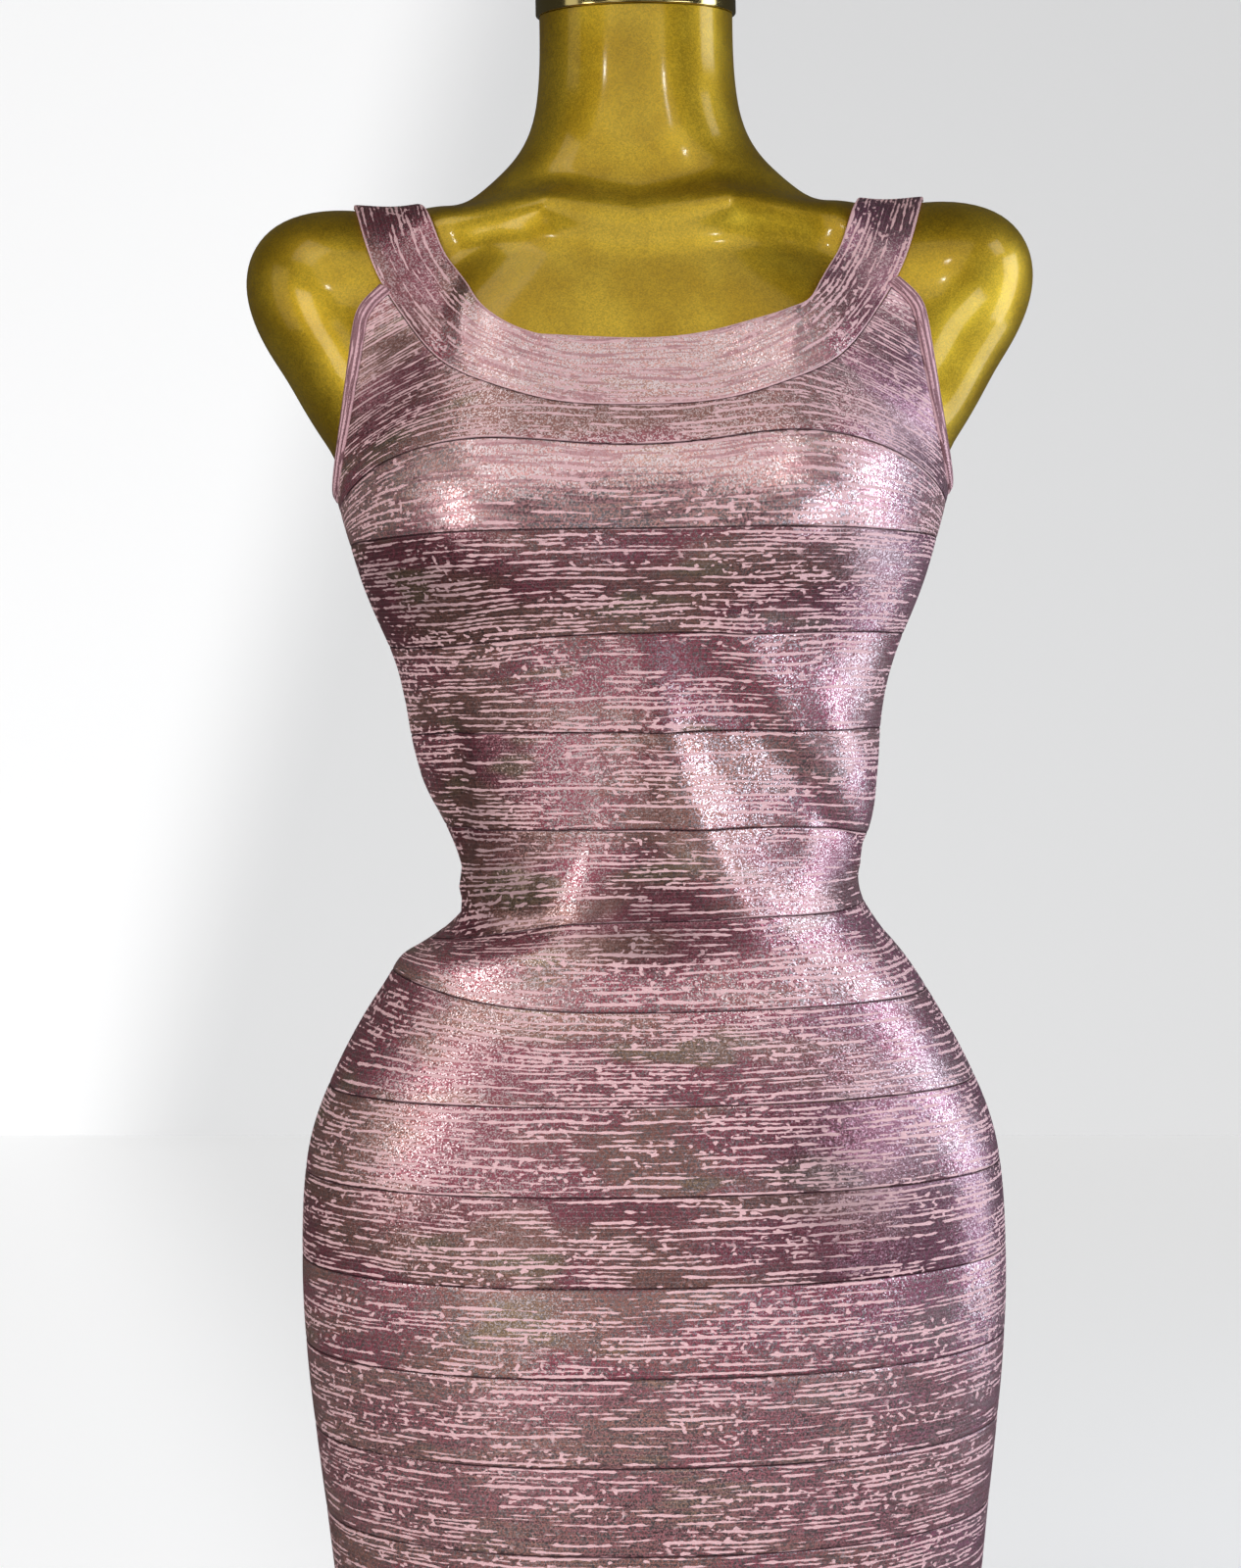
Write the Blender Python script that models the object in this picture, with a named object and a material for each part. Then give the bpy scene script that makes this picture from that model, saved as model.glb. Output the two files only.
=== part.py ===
"""Sleeveless bodycon dress sewn from knitted strips, worn by a smooth armless display torso.

Metres, +Z up. The dress faces -Y and its wearer's left arm side is +X. The origin is the middle
of the torso's flat foot. Every cloth piece is a wall that follows one body surface: the trunk,
two shoulder caps and two collarbones melted together. The torso is that surface drawn inwards.
"""

import math

import bmesh
import bpy
import numpy as np

MM = 0.001

# Cloth
WALL = 1.8 * MM  # thickness of the knitted strips
CLEARANCE = 1.4 * MM  # air between cloth and torso
SEAM_GAP = 0.3 * MM  # between pieces sewn edge to edge
SEAMS = np.array([754, 713, 662, 612, 562, 515, 470, 424, 380, 335, 290, 245, 200, 155, 110, 60]) * MM

# Binding round the armholes
BINDING_WIDTH = 7.5 * MM
BINDING_PROUD = 0.5 * MM  # how far it stands above the cloth beside it

# Torso
NECK_TOP = 997.4 * MM
NECK_LEAN = 0.138  # the neck's flat top rises backwards by this share of the way
LEAN_START = 940 * MM
CAP_HEIGHT = 28 * MM
CAP_RADIUS = 54.1 * MM
CAP_EDGE = 1.2 * MM
FOOT_EDGE = 4 * MM  # rounding where the wall meets the foot
TORSO_BLEND = 14 * MM  # how softly shoulder caps and collarbones melt into the trunk
CLOTH_BLEND = 24 * MM  # cloth is stretched across the hollows beside them

# Colours
GOLD = (0.45, 0.33, 0.08)
POLISHED_GOLD = (0.75, 0.60, 0.22)
MAUVE = (0.55, 0.32, 0.38)
PINK = (0.72, 0.48, 0.54)

# Resolution
FRONT_STEPS = 26
BACK_STEPS = 18
BAND_ROWS = 2  # one more in the strip over the bust
YOKE_ROWS = 3
YOKE_MIDDLE_STEPS = 18
TRUNK_SQUASH = 0.65  # depth over width of the ovals that columns are spread on
YOKE_SQUASH = 0.4
ARMHOLE_STEPS = 11
STRAP_STEPS = 7
NECKBAND_ROWS = 2
TORSO_COLUMNS = np.array([0, 3, 6, 9, 12, 15, 18, 21, 25, 30, 36, 43, 51, 60, 70, 80])  # degrees
TRUNK_RINGS = np.array([0, 70, 140, 200, 250, 290, 330, 370, 400, 430, 460, 490, 515, 540, 570,
                        605, 640, 675, 705, 730, 750, 765, 780, 795])  # heights in mm
SHOULDER_RINGS = np.array([3, 8, 13, 18, 23, 28, 33, 38, 43, 47, 50, 53, 56, 59, 63])  # degrees up
NECK_RINGS = np.array([945, 962, 980, NECK_TOP / MM])  # heights in mm
CAP_STEPS = 40
FAN_HEIGHT = 800 * MM  # the rings over the shoulders are seen from here
FINE_STEPS = 240  # points on a line that is read between
SEAM_RADIUS = 165 * MM  # turns a gap into an angle
STRAP_TURN = 18  # degrees of turn over the shoulder where the armhole meets the strap
BINDING_END = 0.006  # share of the binding's length left free below the strap
EYE_OF_SHOULDER = 830 * MM  # height of the line that straps are measured round
REACH = 0.34  # longer than any ray inside the body
HALVINGS = 30
SLOPE_STEP = 0.4 * MM
CORNER_SPAN = 12  # degrees searched for the yoke's corner below the strap
TINY = 1e-6
SHARP_EDGE = 40  # degrees between faces that meet in a sharp edge

# Trunk, chest and neck, in mm: height, half width, depth in front, depth behind, fullness
TRUNK = np.array([
    (0, 160.0, 90, 92, 2.15),
    (60, 164.0, 94, 97, 2.15),
    (160, 171.9, 100, 106, 2.15),
    (232, 180.2, 105, 117, 2.15),
    (298, 186.4, 108, 130, 2.12),
    (360, 186.4, 108, 133, 2.10),
    (396, 181.8, 106, 126, 2.10),
    (433, 167.6, 101, 112, 2.10),
    (463, 151.0, 95, 98, 2.10),
    (493, 128.8, 88, 84, 2.10),
    (517, 109.0, 84, 75, 2.10),
    (543, 105.5, 81, 71, 2.10),
    (576, 115.8, 83, 73, 2.12),
    (613, 123.2, 88, 79, 2.15),
    (648, 131.6, 95, 86, 2.18),
    (687, 147.4, 105, 93, 2.20),
    (742, 158.6, 111, 99, 2.25),
    (788, 155.0, 99, 97, 2.25),
    (838, 136.0, 82, 85, 2.20),
    (878, 99.0, 66, 71, 2.10),
    (902, 86.0, 58, 61, 2.05),
    (916, 72.0, 55.5, 58, 2.00),
    (931, 61.5, 54.5, 56, 2.00),
    (955, 55.2, 53.4, 54.4, 2.00),
    (999, 53.6, 53.6, 53.6, 2.00),
])

# Soft mounds on the trunk: degrees from the middle of the front, height, half angle,
# reach upwards, reach downwards, rise. Each stands on both sides.
MOUNDS = np.array([
    (37, 718, 23, 58, 49, 17),  # bust
    (146, 330, 26, 62, 52, 10),  # seat
    (140, 780, 22, 50, 60, 6),  # shoulder blade
])

# Outline of the shoulder cap seen from the front: degrees up from level, reach in mm
SHOULDER_MIDDLE = (140 * MM, 830 * MM)
SHOULDER_DEPTH = 53 * MM
SHOULDER_OUTLINE = np.array([
    (-153, 112), (-112, 107), (-84, 92), (-70, 76), (-58, 67), (-43, 61), (-26, 59.4), (-8, 64.4),
    (6, 71.2), (18, 77.4), (29, 81.2), (44, 81), (60, 74.6), (78, 67), (107, 68.2), (123, 80), (145, 88),
    (169, 100),
])

# Collarbone: from beside the throat to above the strap
# Middle line of the collarbone on the +X side, in mm
COLLARBONE = np.array([(4, -60, 874), (46, -58, 883), (98, -30, 878)])
COLLARBONE_RADIUS = 8 * MM

# Neckband across the front, wearer's right to left: inner edge and outer edge, each as mm from
# the middle and degrees of turn over the shoulder, where 0 faces forward and 90 is the top.
NECKBAND_FRONT = np.array([
    (-120, 90, -154, 90),
    (-113, 64, -148, 60),
    (-104, 40, -140, 32),
    (-96, 24, -132, 14),
    (-87, 9.5, -121, -3.5),
    (-79, -0.5, -104, -18.8),
    (-60, -9, -76, -24.2),
    (-32, -11.5, -40, -27),
    (0, -12.3, 0, -27.8),
    (31, -11, 40, -27),
    (59, -6.7, 76, -24.2),
    (82, -1, 104, -18.8),
    (91, 8, 121, -3.5),
    (99, 23, 132, 14),
    (106, 38, 140, 32),
    (114, 62, 148, 60),
    (120, 90, 154, 90),
])

# Neckband across the back, from the middle to the shoulder: same columns, 0 faces backward
NECKBAND_BACK = np.array([
    (0, 2, 0, -19),
    (30, 3, 46, -17),
    (58, 7, 85, -10),
    (78, 14, 110, 1),
    (90, 24, 126, 15),
    (100, 38, 137, 31),
    (109, 56, 145, 50),
    (115, 72, 150.5, 70),
    (120, 90, 154, 90),
])

# Armhole edge of the cloth from under the arm upwards: degrees round from the side, height in mm
ARMHOLE = np.array([
    (0.0, 744.0),
    (4.4, 745.5),
    (8.4, 750.5),
    (11.8, 760.0),
    (14.7, 774.0),
    (17.0, 792.0),
    (18.6, 811.0),
    (19.6, 830.0),
])

# Where ring seams leave the level: seam, degrees from the front, half angle, rise in mm
SEAM_DRIFT = (
    (0, -38, 20, 5),
    (0, 38, 20, 7),
    (0, -90, 22, -23),
    (0, 90, 22, -23),
    (0, -180, 50, -6),
    (5, -82, 34, -11),
    (6, -86, 34, 14),
    (2, -62, 30, -5),
    (4, 84, 24, -4),
)

# Folds of the cloth: three stations as degrees from the front and height in mm, then half width
# and rise in mm. A negative rise is a trough.
FOLDS = (
    ((-60, 632), (-64, 588), (-70, 545), 10, -4.2),
    ((-84, 628), (-82, 590), (-84, 556), 16, 3.5),
    ((24, 664), (52, 620), (83, 564), 18, 5.5),
    ((22, 636), (40, 598), (66, 556), 9, -2.5),
    ((-18, 518), (-62, 513), (-120, 521), 12, -6.5),
    ((-30, 498), (-64, 490), (-100, 492), 9, 4.0),
    ((-80, 585), (-88, 536), (-92, 508), 20, -8.5),
    ((86, 585), (92, 540), (94, 500), 30, 7.0),
    ((160, 548), (180, 536), (200, 548), 12, 3.0),
    ((158, 520), (180, 510), (202, 520), 10, -2.5),
)
FOLD_RADIUS = 115 * MM  # turns degrees of fold into distance
FOLD_SAMPLES = 17
FOLD_TAIL = 0.35  # stations beyond each end over which a fold would die out
SLACK = 15 * MM  # extra room inside the cloth at the waist, which troughs sink into
SLACK_MIDDLE = 532 * MM
SLACK_REACH = 62 * MM


def spline(knots, values):
    """Natural cubic curve through the knots, as a function."""
    knots = np.asarray(knots, float)
    values = np.asarray(values, float)
    step = np.diff(knots)
    count = len(knots)
    system = np.eye(count)
    right = np.zeros(count)
    for i in range(1, count - 1):
        system[i, i - 1 : i + 2] = step[i - 1], 2 * (step[i - 1] + step[i]), step[i]
        right[i] = 6 * ((values[i + 1] - values[i]) / step[i] - (values[i] - values[i - 1]) / step[i - 1])
    bend = np.linalg.solve(system, right)

    def curve(where):
        where = np.clip(where, knots[0], knots[-1])
        i = np.clip(np.searchsorted(knots, where) - 1, 0, count - 2)
        left = where - knots[i]
        rest = knots[i + 1] - where
        width = step[i]
        return (
            (bend[i] * rest**3 + bend[i + 1] * left**3) / (6 * width)
            + (values[i] / width - bend[i] * width / 6) * rest
            + (values[i + 1] / width - bend[i + 1] * width / 6) * left
        )

    return curve


def closed_spline(degrees, values):
    """The same for a curve that comes back to its start after a full turn."""
    turns = np.concatenate([np.asarray(degrees) + shift for shift in (-360, 0, 360)])
    return spline(turns, np.tile(values, 3))


HALF_WIDTH, FRONT, BACK, FULLNESS = (spline(TRUNK[:, 0], TRUNK[:, column]) for column in range(1, 5))
SHOULDER_REACH = closed_spline(SHOULDER_OUTLINE[:, 0], SHOULDER_OUTLINE[:, 1] * MM)


def from_front(angle):
    """Degrees round from the middle of the front, -180 to 180, of a bearing counted from +X."""
    return (np.degrees(angle) + 90 + 180) % 360 - 180


def trunk_radius(angle, z):
    """Radius of the trunk at a bearing and a height."""
    height = z / MM
    half_width = HALF_WIDTH(height) * MM
    front = FRONT(height) * MM
    back = BACK(height) * MM
    depth = (front + back) / 2 + (back - front) / 2 * np.sin(angle)
    power = FULLNESS(height)
    across = np.abs(np.cos(angle)) / half_width
    along = np.abs(np.sin(angle)) / depth
    radius = (across**power + along**power) ** (-1 / power)
    bearing = from_front(angle)
    for degrees, level, half_angle, above, below, rise in MOUNDS:
        tall = np.where(height > level, above, below)
        upright = np.exp(-(((height - level) / tall) ** 2))
        for side in (-1, 1):
            away = (bearing - side * degrees + 180) % 360 - 180
            radius = radius + rise * MM * upright * np.exp(-((away / half_angle) ** 2))
    return radius


def soft_union(one, other, blend):
    """Smaller of two distances, rounded where they are close."""
    share = np.clip(0.5 + 0.5 * (other - one) / blend, 0, 1)
    return other + (one - other) * share - blend * share * (1 - share)


def shoulder_distance(x, y, z):
    """Roughly how far a point is outside the shoulder caps."""
    across = np.abs(x) - SHOULDER_MIDDLE[0]
    up = z - SHOULDER_MIDDLE[1]
    outline = SHOULDER_REACH(np.degrees(np.arctan2(up, across)))
    ratio = np.sqrt((np.hypot(across, up) / outline) ** 2 + (y / SHOULDER_DEPTH) ** 2)
    return (ratio - 1) * SHOULDER_DEPTH


def collarbone_distance(x, y, z):
    """How far a point is outside the collarbones."""
    nearest = np.inf
    for start, end in zip(COLLARBONE[:-1] * MM, COLLARBONE[1:] * MM):
        line = end - start
        point = np.stack([np.abs(x), y, z], axis=-1) - start
        share = np.clip(point @ line / (line @ line), 0, 1)
        nearest = np.minimum(nearest, np.linalg.norm(point - share[..., None] * line, axis=-1))
    return nearest - COLLARBONE_RADIUS


def body_distance(x, y, z, blend):
    """Roughly how far a point is outside the body surface that the cloth lies on."""
    trunk = np.hypot(x, y) - trunk_radius(np.arctan2(y, x), z)
    body = soft_union(trunk, shoulder_distance(x, y, z), blend)
    return soft_union(body, collarbone_distance(x, y, z), blend)


def along_ray(start, direction, blend=CLOTH_BLEND):
    """Point where a ray from inside the body leaves it."""
    near = np.zeros(start.shape[:-1])
    far = np.full(start.shape[:-1], REACH)
    for _ in range(HALVINGS):
        middle = (near + far) / 2
        point = start + middle[..., None] * direction
        inside = body_distance(*np.moveaxis(point, -1, 0), blend) < 0
        near = np.where(inside, middle, near)
        far = np.where(inside, far, middle)
    return start + near[..., None] * direction


def round_body(angle, z, blend=CLOTH_BLEND):
    """Body surface at a bearing and a height."""
    angle, z = np.broadcast_arrays(angle, z)
    level = np.zeros_like(z, dtype=float)
    start = np.stack([level, level, z], axis=-1)
    return along_ray(start, np.stack([np.cos(angle), np.sin(angle), level], axis=-1), blend)


def over_shoulder(x, turn):
    """Body surface at a distance from the middle and degrees of turn from facing forward."""
    x, turn = np.broadcast_arrays(x, np.radians(turn))
    level = np.zeros_like(x, dtype=float)
    start = np.stack([x, level, level + EYE_OF_SHOULDER], axis=-1)
    return along_ray(start, np.stack([level, -np.cos(turn), np.sin(turn)], axis=-1))


def outward(points, blend=CLOTH_BLEND):
    """Unit directions out of the body surface."""
    slope = np.empty_like(points)
    for axis in range(3):
        step = np.zeros(3)
        step[axis] = SLOPE_STEP
        ahead = body_distance(*np.moveaxis(points + step, -1, 0), blend)
        behind = body_distance(*np.moveaxis(points - step, -1, 0), blend)
        slope[..., axis] = ahead - behind
    return slope / np.linalg.norm(slope, axis=-1, keepdims=True)


def fold_rise(points):
    """How far the cloth stands off its resting place at points of the body surface."""
    bearing = from_front(np.arctan2(points[..., 1], points[..., 0]))
    height = points[..., 2]
    total = np.zeros(height.shape)
    for *stations, half_width, rise in FOLDS:
        degrees, level = np.array(stations).T
        line = spline((0, 1, 2), degrees), spline((0, 1, 2), level * MM)
        nearest = np.full(height.shape, np.inf)
        taper = np.zeros(height.shape)
        for share in np.linspace(0, 2, FOLD_SAMPLES):
            strength = math.sin(math.pi * (share + FOLD_TAIL) / (2 + 2 * FOLD_TAIL))
            away = (bearing - line[0](share) + 180) % 360 - 180
            distance = np.hypot(np.radians(away) * FOLD_RADIUS, height - line[1](share))
            closer = distance < nearest
            nearest = np.where(closer, distance, nearest)
            taper = np.where(closer, strength, taper)
        total += rise * MM * taper * np.exp(-((nearest / (half_width * MM)) ** 2))
    return total


def seam_height(seam, angle):
    """Height of a ring seam at a bearing."""
    height = np.full(np.shape(angle), SEAMS[seam])
    for which, degrees, half_angle, rise in SEAM_DRIFT:
        if which == seam:
            away = (from_front(angle) - degrees + 180) % 360 - 180
            height = height + rise * MM * np.exp(-((away / half_angle) ** 2))
    return height


def material(name, colour, roughness, metallic):
    """A finish with one colour."""
    finish = bpy.data.materials.new(name)
    finish.use_nodes = True
    shader = finish.node_tree.nodes["Principled BSDF"]
    shader.inputs["Base Color"].default_value = (*colour, 1)
    shader.inputs["Roughness"].default_value = roughness
    shader.inputs["Metallic"].default_value = metallic
    return finish


def solid(name, points, faces, finish):
    """An object made from points and faces, with its faces pointing out."""
    mesh = bpy.data.meshes.new(name)
    mesh.from_pydata([tuple(point) for point in points], [], faces)
    edit = bmesh.new()
    edit.from_mesh(mesh)
    bmesh.ops.recalc_face_normals(edit, faces=edit.faces)
    edit.to_mesh(mesh)
    edit.free()
    mesh.shade_smooth()
    mesh.set_sharp_from_angle(angle=math.radians(SHARP_EDGE))
    mesh.materials.append(finish)
    made = bpy.data.objects.new(name, mesh)
    bpy.context.collection.objects.link(made)
    return made


def cloth_wall(name, points, finish, proud=0.0):
    """A wall of cloth over a grid of body surface points, closed round its four edges."""
    rows, columns = points.shape[:2]
    direction = outward(points)
    inner = fold_rise(points)[..., None]
    skin = np.concatenate([points + direction * inner, points + direction * (inner + WALL + proud)])
    far = rows * columns
    faces = []
    for row in range(rows - 1):
        for column in range(columns - 1):
            corner = row * columns + column
            quad = (corner, corner + 1, corner + columns + 1, corner + columns)
            faces.append(quad)
            faces.append(tuple(far + index for index in reversed(quad)))
    rim = list(range(columns))
    rim += [row * columns + columns - 1 for row in range(1, rows)]
    rim += [(rows - 1) * columns + column for column in reversed(range(columns - 1))]
    rim += [row * columns for row in reversed(range(1, rows - 1))]
    for here, there in zip(rim, rim[1:] + rim[:1], strict=True):
        faces.append((there, here, far + here, far + there))
    return solid(name, skin.reshape(-1, 3), faces, finish)


def bearing_of(side, points):
    """Degrees from the middle of the front or back, -90 at the -X side and 90 at the +X side."""
    angle = np.degrees(np.arctan2(points[..., 1], points[..., 0]))
    return angle + 90 if side == "front" else 90 - angle


def angle_of(side, bearing):
    """The same turned back into a bearing counted from +X, in radians."""
    return np.radians(bearing - 90 if side == "front" else 90 - bearing)


def crowded(bearings, squash):
    """Evenly spread bearings drawn towards the sides, where an oval bends most."""
    turn = np.radians(bearings)
    return np.degrees(np.arctan2(np.sin(turn), squash * np.cos(turn)))


def even_columns(steps):
    """Bearings across one half, stopping half a gap short of each side seam."""
    short = math.degrees(SEAM_GAP / 2 / SEAM_RADIUS)
    spread = crowded(np.linspace(-90, 90, steps + 1), TRUNK_SQUASH)
    return np.clip(spread, short - 90, 90 - short)


def shifted(points, distance):
    """A line of body surface points moved sideways within the surface."""
    run = np.gradient(points, axis=0)
    sideways = np.cross(outward(points), run)
    sideways /= np.linalg.norm(sideways, axis=-1, keepdims=True)
    moved = points + sideways * distance
    return round_body(np.arctan2(moved[..., 1], moved[..., 0]), moved[..., 2])


def read_line(line, stations):
    """Points of a line of points at stations counted from its first point."""
    known = np.arange(len(line))
    return np.stack([np.interp(stations, known, column) for column in line.T], axis=-1)


class Neckline:
    """Stations of one half of the neckband, from the -X shoulder to the +X one."""

    def __init__(self, side):
        self.side = side
        table = NECKBAND_FRONT.astype(float)
        if side == "back":
            half = NECKBAND_BACK.astype(float)
            table = np.concatenate([half[:0:-1] * (-1, 1, -1, 1), half])
        station = np.arange(len(table))
        self.last = len(table) - 1
        self.middle = self.last / 2
        self.inner_x, self.inner_turn, self.outer_x, self.outer_turn = (
            spline(station, column) for column in table.T
        )
        upper = np.linspace(self.middle, self.last, FINE_STEPS)
        self.strap = float(np.interp(STRAP_TURN, self.outer_turn(upper), upper))

    def points(self, station, share):
        """Body surface points, with share 0 at the outer edge and 1 at the inner edge."""
        x = self.outer_x(station) + (self.inner_x(station) - self.outer_x(station)) * share
        turn = self.outer_turn(station) + (self.inner_turn(station) - self.outer_turn(station)) * share
        return over_shoulder(x * MM, turn if self.side == "front" else 180 - turn)

    def lower_line(self):
        """Outer edge on the +X half from the middle to where the armhole meets the strap."""
        return self.points(np.linspace(self.middle, self.strap, FINE_STEPS), 0.0)


class Yoke:
    """Lines that bound the yoke, its columns, and the armhole binding beside it, on the +X half."""

    def __init__(self, side):
        self.side = side
        self.neckline = Neckline(side)
        toward_body = 1 if side == "front" else -1
        neck = self.neckline.lower_line()
        strap_degrees = 90 - float(bearing_of(side, neck[-1]))
        degrees = np.append(ARMHOLE[:, 0], strap_degrees)
        height = np.append(ARMHOLE[:, 1] * MM, neck[-1, 2])
        station = np.arange(len(degrees))
        where = np.linspace(0, station[-1], FINE_STEPS)
        bearing = 90 - spline(station, degrees)(where)
        self.hole = round_body(angle_of(side, bearing), spline(station, height)(where))
        self.stitch = shifted(self.hole, toward_body * BINDING_WIDTH)
        self.below_binding = shifted(self.hole, toward_body * (BINDING_WIDTH + SEAM_GAP))
        self.below_neck = shifted(neck, -toward_body * SEAM_GAP)
        fine = np.linspace(90 - strap_degrees - CORNER_SPAN, 90 - strap_degrees, FINE_STEPS)
        lower = self.height(self.below_binding, fine) - self.height(self.below_neck, fine)
        self.corner = float(fine[np.argmax(lower < 0)])
        sides = self.side_columns()
        start = math.degrees(math.atan(YOKE_SQUASH * math.tan(math.radians(self.corner))))
        half = crowded(np.linspace(start, 0, YOKE_MIDDLE_STEPS // 2 + 1)[1:], YOKE_SQUASH)
        right = np.concatenate([sides, half])
        self.columns = np.concatenate([-right, right[-2::-1]])

    def side_columns(self):
        """Bearings of stations spread evenly along the armhole, from under the arm to the corner."""
        found = bearing_of(self.side, self.below_binding)
        line = self.below_binding[found >= self.corner]
        run = np.concatenate([[0], np.cumsum(np.linalg.norm(np.diff(line, axis=0), axis=-1))])
        spread = np.interp(np.linspace(0, run[-1], ARMHOLE_STEPS + 1), run, bearing_of(self.side, line))
        spread[0] = 90 - math.degrees(SEAM_GAP / 2 / SEAM_RADIUS)
        spread[-1] = self.corner
        return spread

    def height(self, line, bearings):
        """Heights at which a line of points passes the bearings."""
        found = bearing_of(self.side, line)
        order = np.argsort(found)
        return np.interp(bearings, found[order], line[order, 2])

    def top(self, bearings):
        """Upper edge of the yoke."""
        bearings = np.abs(bearings)
        hole = self.height(self.below_binding, bearings)
        neck = self.height(self.below_neck, bearings)
        return np.where(bearings > self.corner, hole, neck)

    def binding_columns(self):
        """Stations of the binding from under the arm to the strap, as inner and outer points."""
        station = np.arange(FINE_STEPS)
        found = bearing_of(self.side, self.below_binding)
        order = np.argsort(found)
        columns = self.columns[self.columns >= self.corner - TINY][::-1]
        where = np.interp(columns, found[order], station[order])
        where[0] = 0
        outer = where.copy()
        outer[-1] = station[-1] * (1 - BINDING_END)
        return read_line(self.stitch, where), read_line(self.hole, outer)


def band(side, number, columns, finish):
    """One half of a knitted ring strip between two ring seams."""
    angle = angle_of(side, columns)
    top = seam_height(number - 1, angle) - SEAM_GAP / 2
    bottom = seam_height(number, angle) + (SEAM_GAP / 2 if number < len(SEAMS) - 1 else 0)
    rows = BAND_ROWS + (number == 1)
    share = np.linspace(0, 1, rows + 1)[:, None]
    grid = round_body(angle[None, :], bottom + (top - bottom) * share)
    return cloth_wall(f"{side}_band_{number:02d}", grid, finish)


def yoke_panel(yoke, finish):
    """Panel between the first ring seam, the armholes and the neckband."""
    angle = angle_of(yoke.side, yoke.columns)
    bottom = seam_height(0, angle) + SEAM_GAP / 2
    top = yoke.top(yoke.columns)
    share = np.linspace(0, 1, YOKE_ROWS + 1)[:, None]
    grid = round_body(angle[None, :], bottom + (top - bottom) * share)
    return cloth_wall(f"{yoke.side}_yoke", grid, finish)


def neckband(yoke, finish):
    """Strip round half of the neck opening with the shoulder straps at its ends."""
    neckline = yoke.neckline
    line = neckline.lower_line()
    station = np.linspace(neckline.middle, neckline.strap, FINE_STEPS)
    columns = yoke.columns[(yoke.columns > -TINY) & (yoke.columns < yoke.corner + TINY)]
    beside = np.interp(columns, bearing_of(yoke.side, line), station)
    strap = np.linspace(neckline.strap, neckline.last, STRAP_STEPS + 1)
    right = np.concatenate([beside, strap])
    stations = np.concatenate([neckline.last - right[:0:-1], right])
    share = np.linspace(0, 1, NECKBAND_ROWS + 1)[:, None]
    grid = neckline.points(stations[None, :], share)
    away = -1 if yoke.side == "front" else 1
    for tip in (0, -1):
        grid[:, tip, 1] = away * SEAM_GAP / 2
    return cloth_wall(f"neckband_{yoke.side}", grid, finish)


def armhole_binding(name, mirror, yokes, finish):
    """Narrow folded strip sewn round an armhole, from strap to strap under the arm."""
    inner_front, outer_front = yokes["front"].binding_columns()
    inner_back, outer_back = yokes["back"].binding_columns()
    inner = np.concatenate([inner_front[::-1], inner_back[1:]])
    outer = np.concatenate([outer_front[::-1], outer_back[1:]])
    grid = np.stack([inner, outer]) * (mirror, 1, 1)
    return cloth_wall(name, grid, finish, proud=BINDING_PROUD)


def stacked_faces(rings, columns):
    """Faces of a closed stack of rings, with a flat face at each end."""
    faces = [tuple(reversed(range(columns))), tuple((rings - 1) * columns + i for i in range(columns))]
    for ring in range(rings - 1):
        for i in range(columns):
            here = ring * columns + i
            beside = ring * columns + (i + 1) % columns
            faces.append((here, beside, beside + columns, here + columns))
    return faces


def torso_columns():
    """Bearings of the torso's columns once round, counted from +X."""
    quarter = np.append(TORSO_COLUMNS, 90)
    half = np.concatenate([quarter, 180 - quarter[-2::-1]])
    return np.radians(np.concatenate([half, 180 + half[1:-1]]))


def torso_rings():
    """Body surface points of the torso, ring by ring from foot to neck top."""
    angle = torso_columns()
    rings = [round_body(angle, height, TORSO_BLEND) for height in TRUNK_RINGS * MM]
    for degrees in SHOULDER_RINGS:
        tilt = math.radians(degrees)
        start = np.zeros((len(angle), 3)) + (0, 0, FAN_HEIGHT)
        level = math.cos(tilt)
        up = np.full(len(angle), math.sin(tilt))
        direction = np.stack([np.cos(angle) * level, np.sin(angle) * level, up], axis=-1)
        rings.append(along_ray(start, direction, TORSO_BLEND))
    rings += [round_body(angle, height, TORSO_BLEND) for height in NECK_RINGS * MM]
    return np.array(rings)


def leaning(y, z):
    """How far the neck's slanting top lifts a point."""
    share = np.clip((z - LEAN_START) / (NECK_TOP - LEAN_START), 0, 1)
    return NECK_LEAN * y * share


def torso(finish):
    """The closed display torso, drawn in from the cloth's inner face."""
    rings = torso_rings()
    height = rings[..., 2]
    slack = SLACK * np.exp(-(((height - SLACK_MIDDLE) / SLACK_REACH) ** 2))
    inside = outward(rings, TORSO_BLEND) * (CLEARANCE + slack)[..., None]
    inside[[0, -1], :, 2] = 0
    rings = rings - inside
    rings[..., 2] += leaning(rings[..., 1], rings[..., 2])
    foot = rings[0] * (1, 1, 0)
    centre = foot.mean(axis=0)
    toe = foot + (centre - foot) / np.linalg.norm(centre - foot, axis=-1, keepdims=True) * FOOT_EDGE
    rings = np.concatenate([toe[None], (foot + (0, 0, FOOT_EDGE))[None], rings[1:]])
    return solid("form_torso", rings.reshape(-1, 3), stacked_faces(*rings.shape[:2]), finish)


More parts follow.
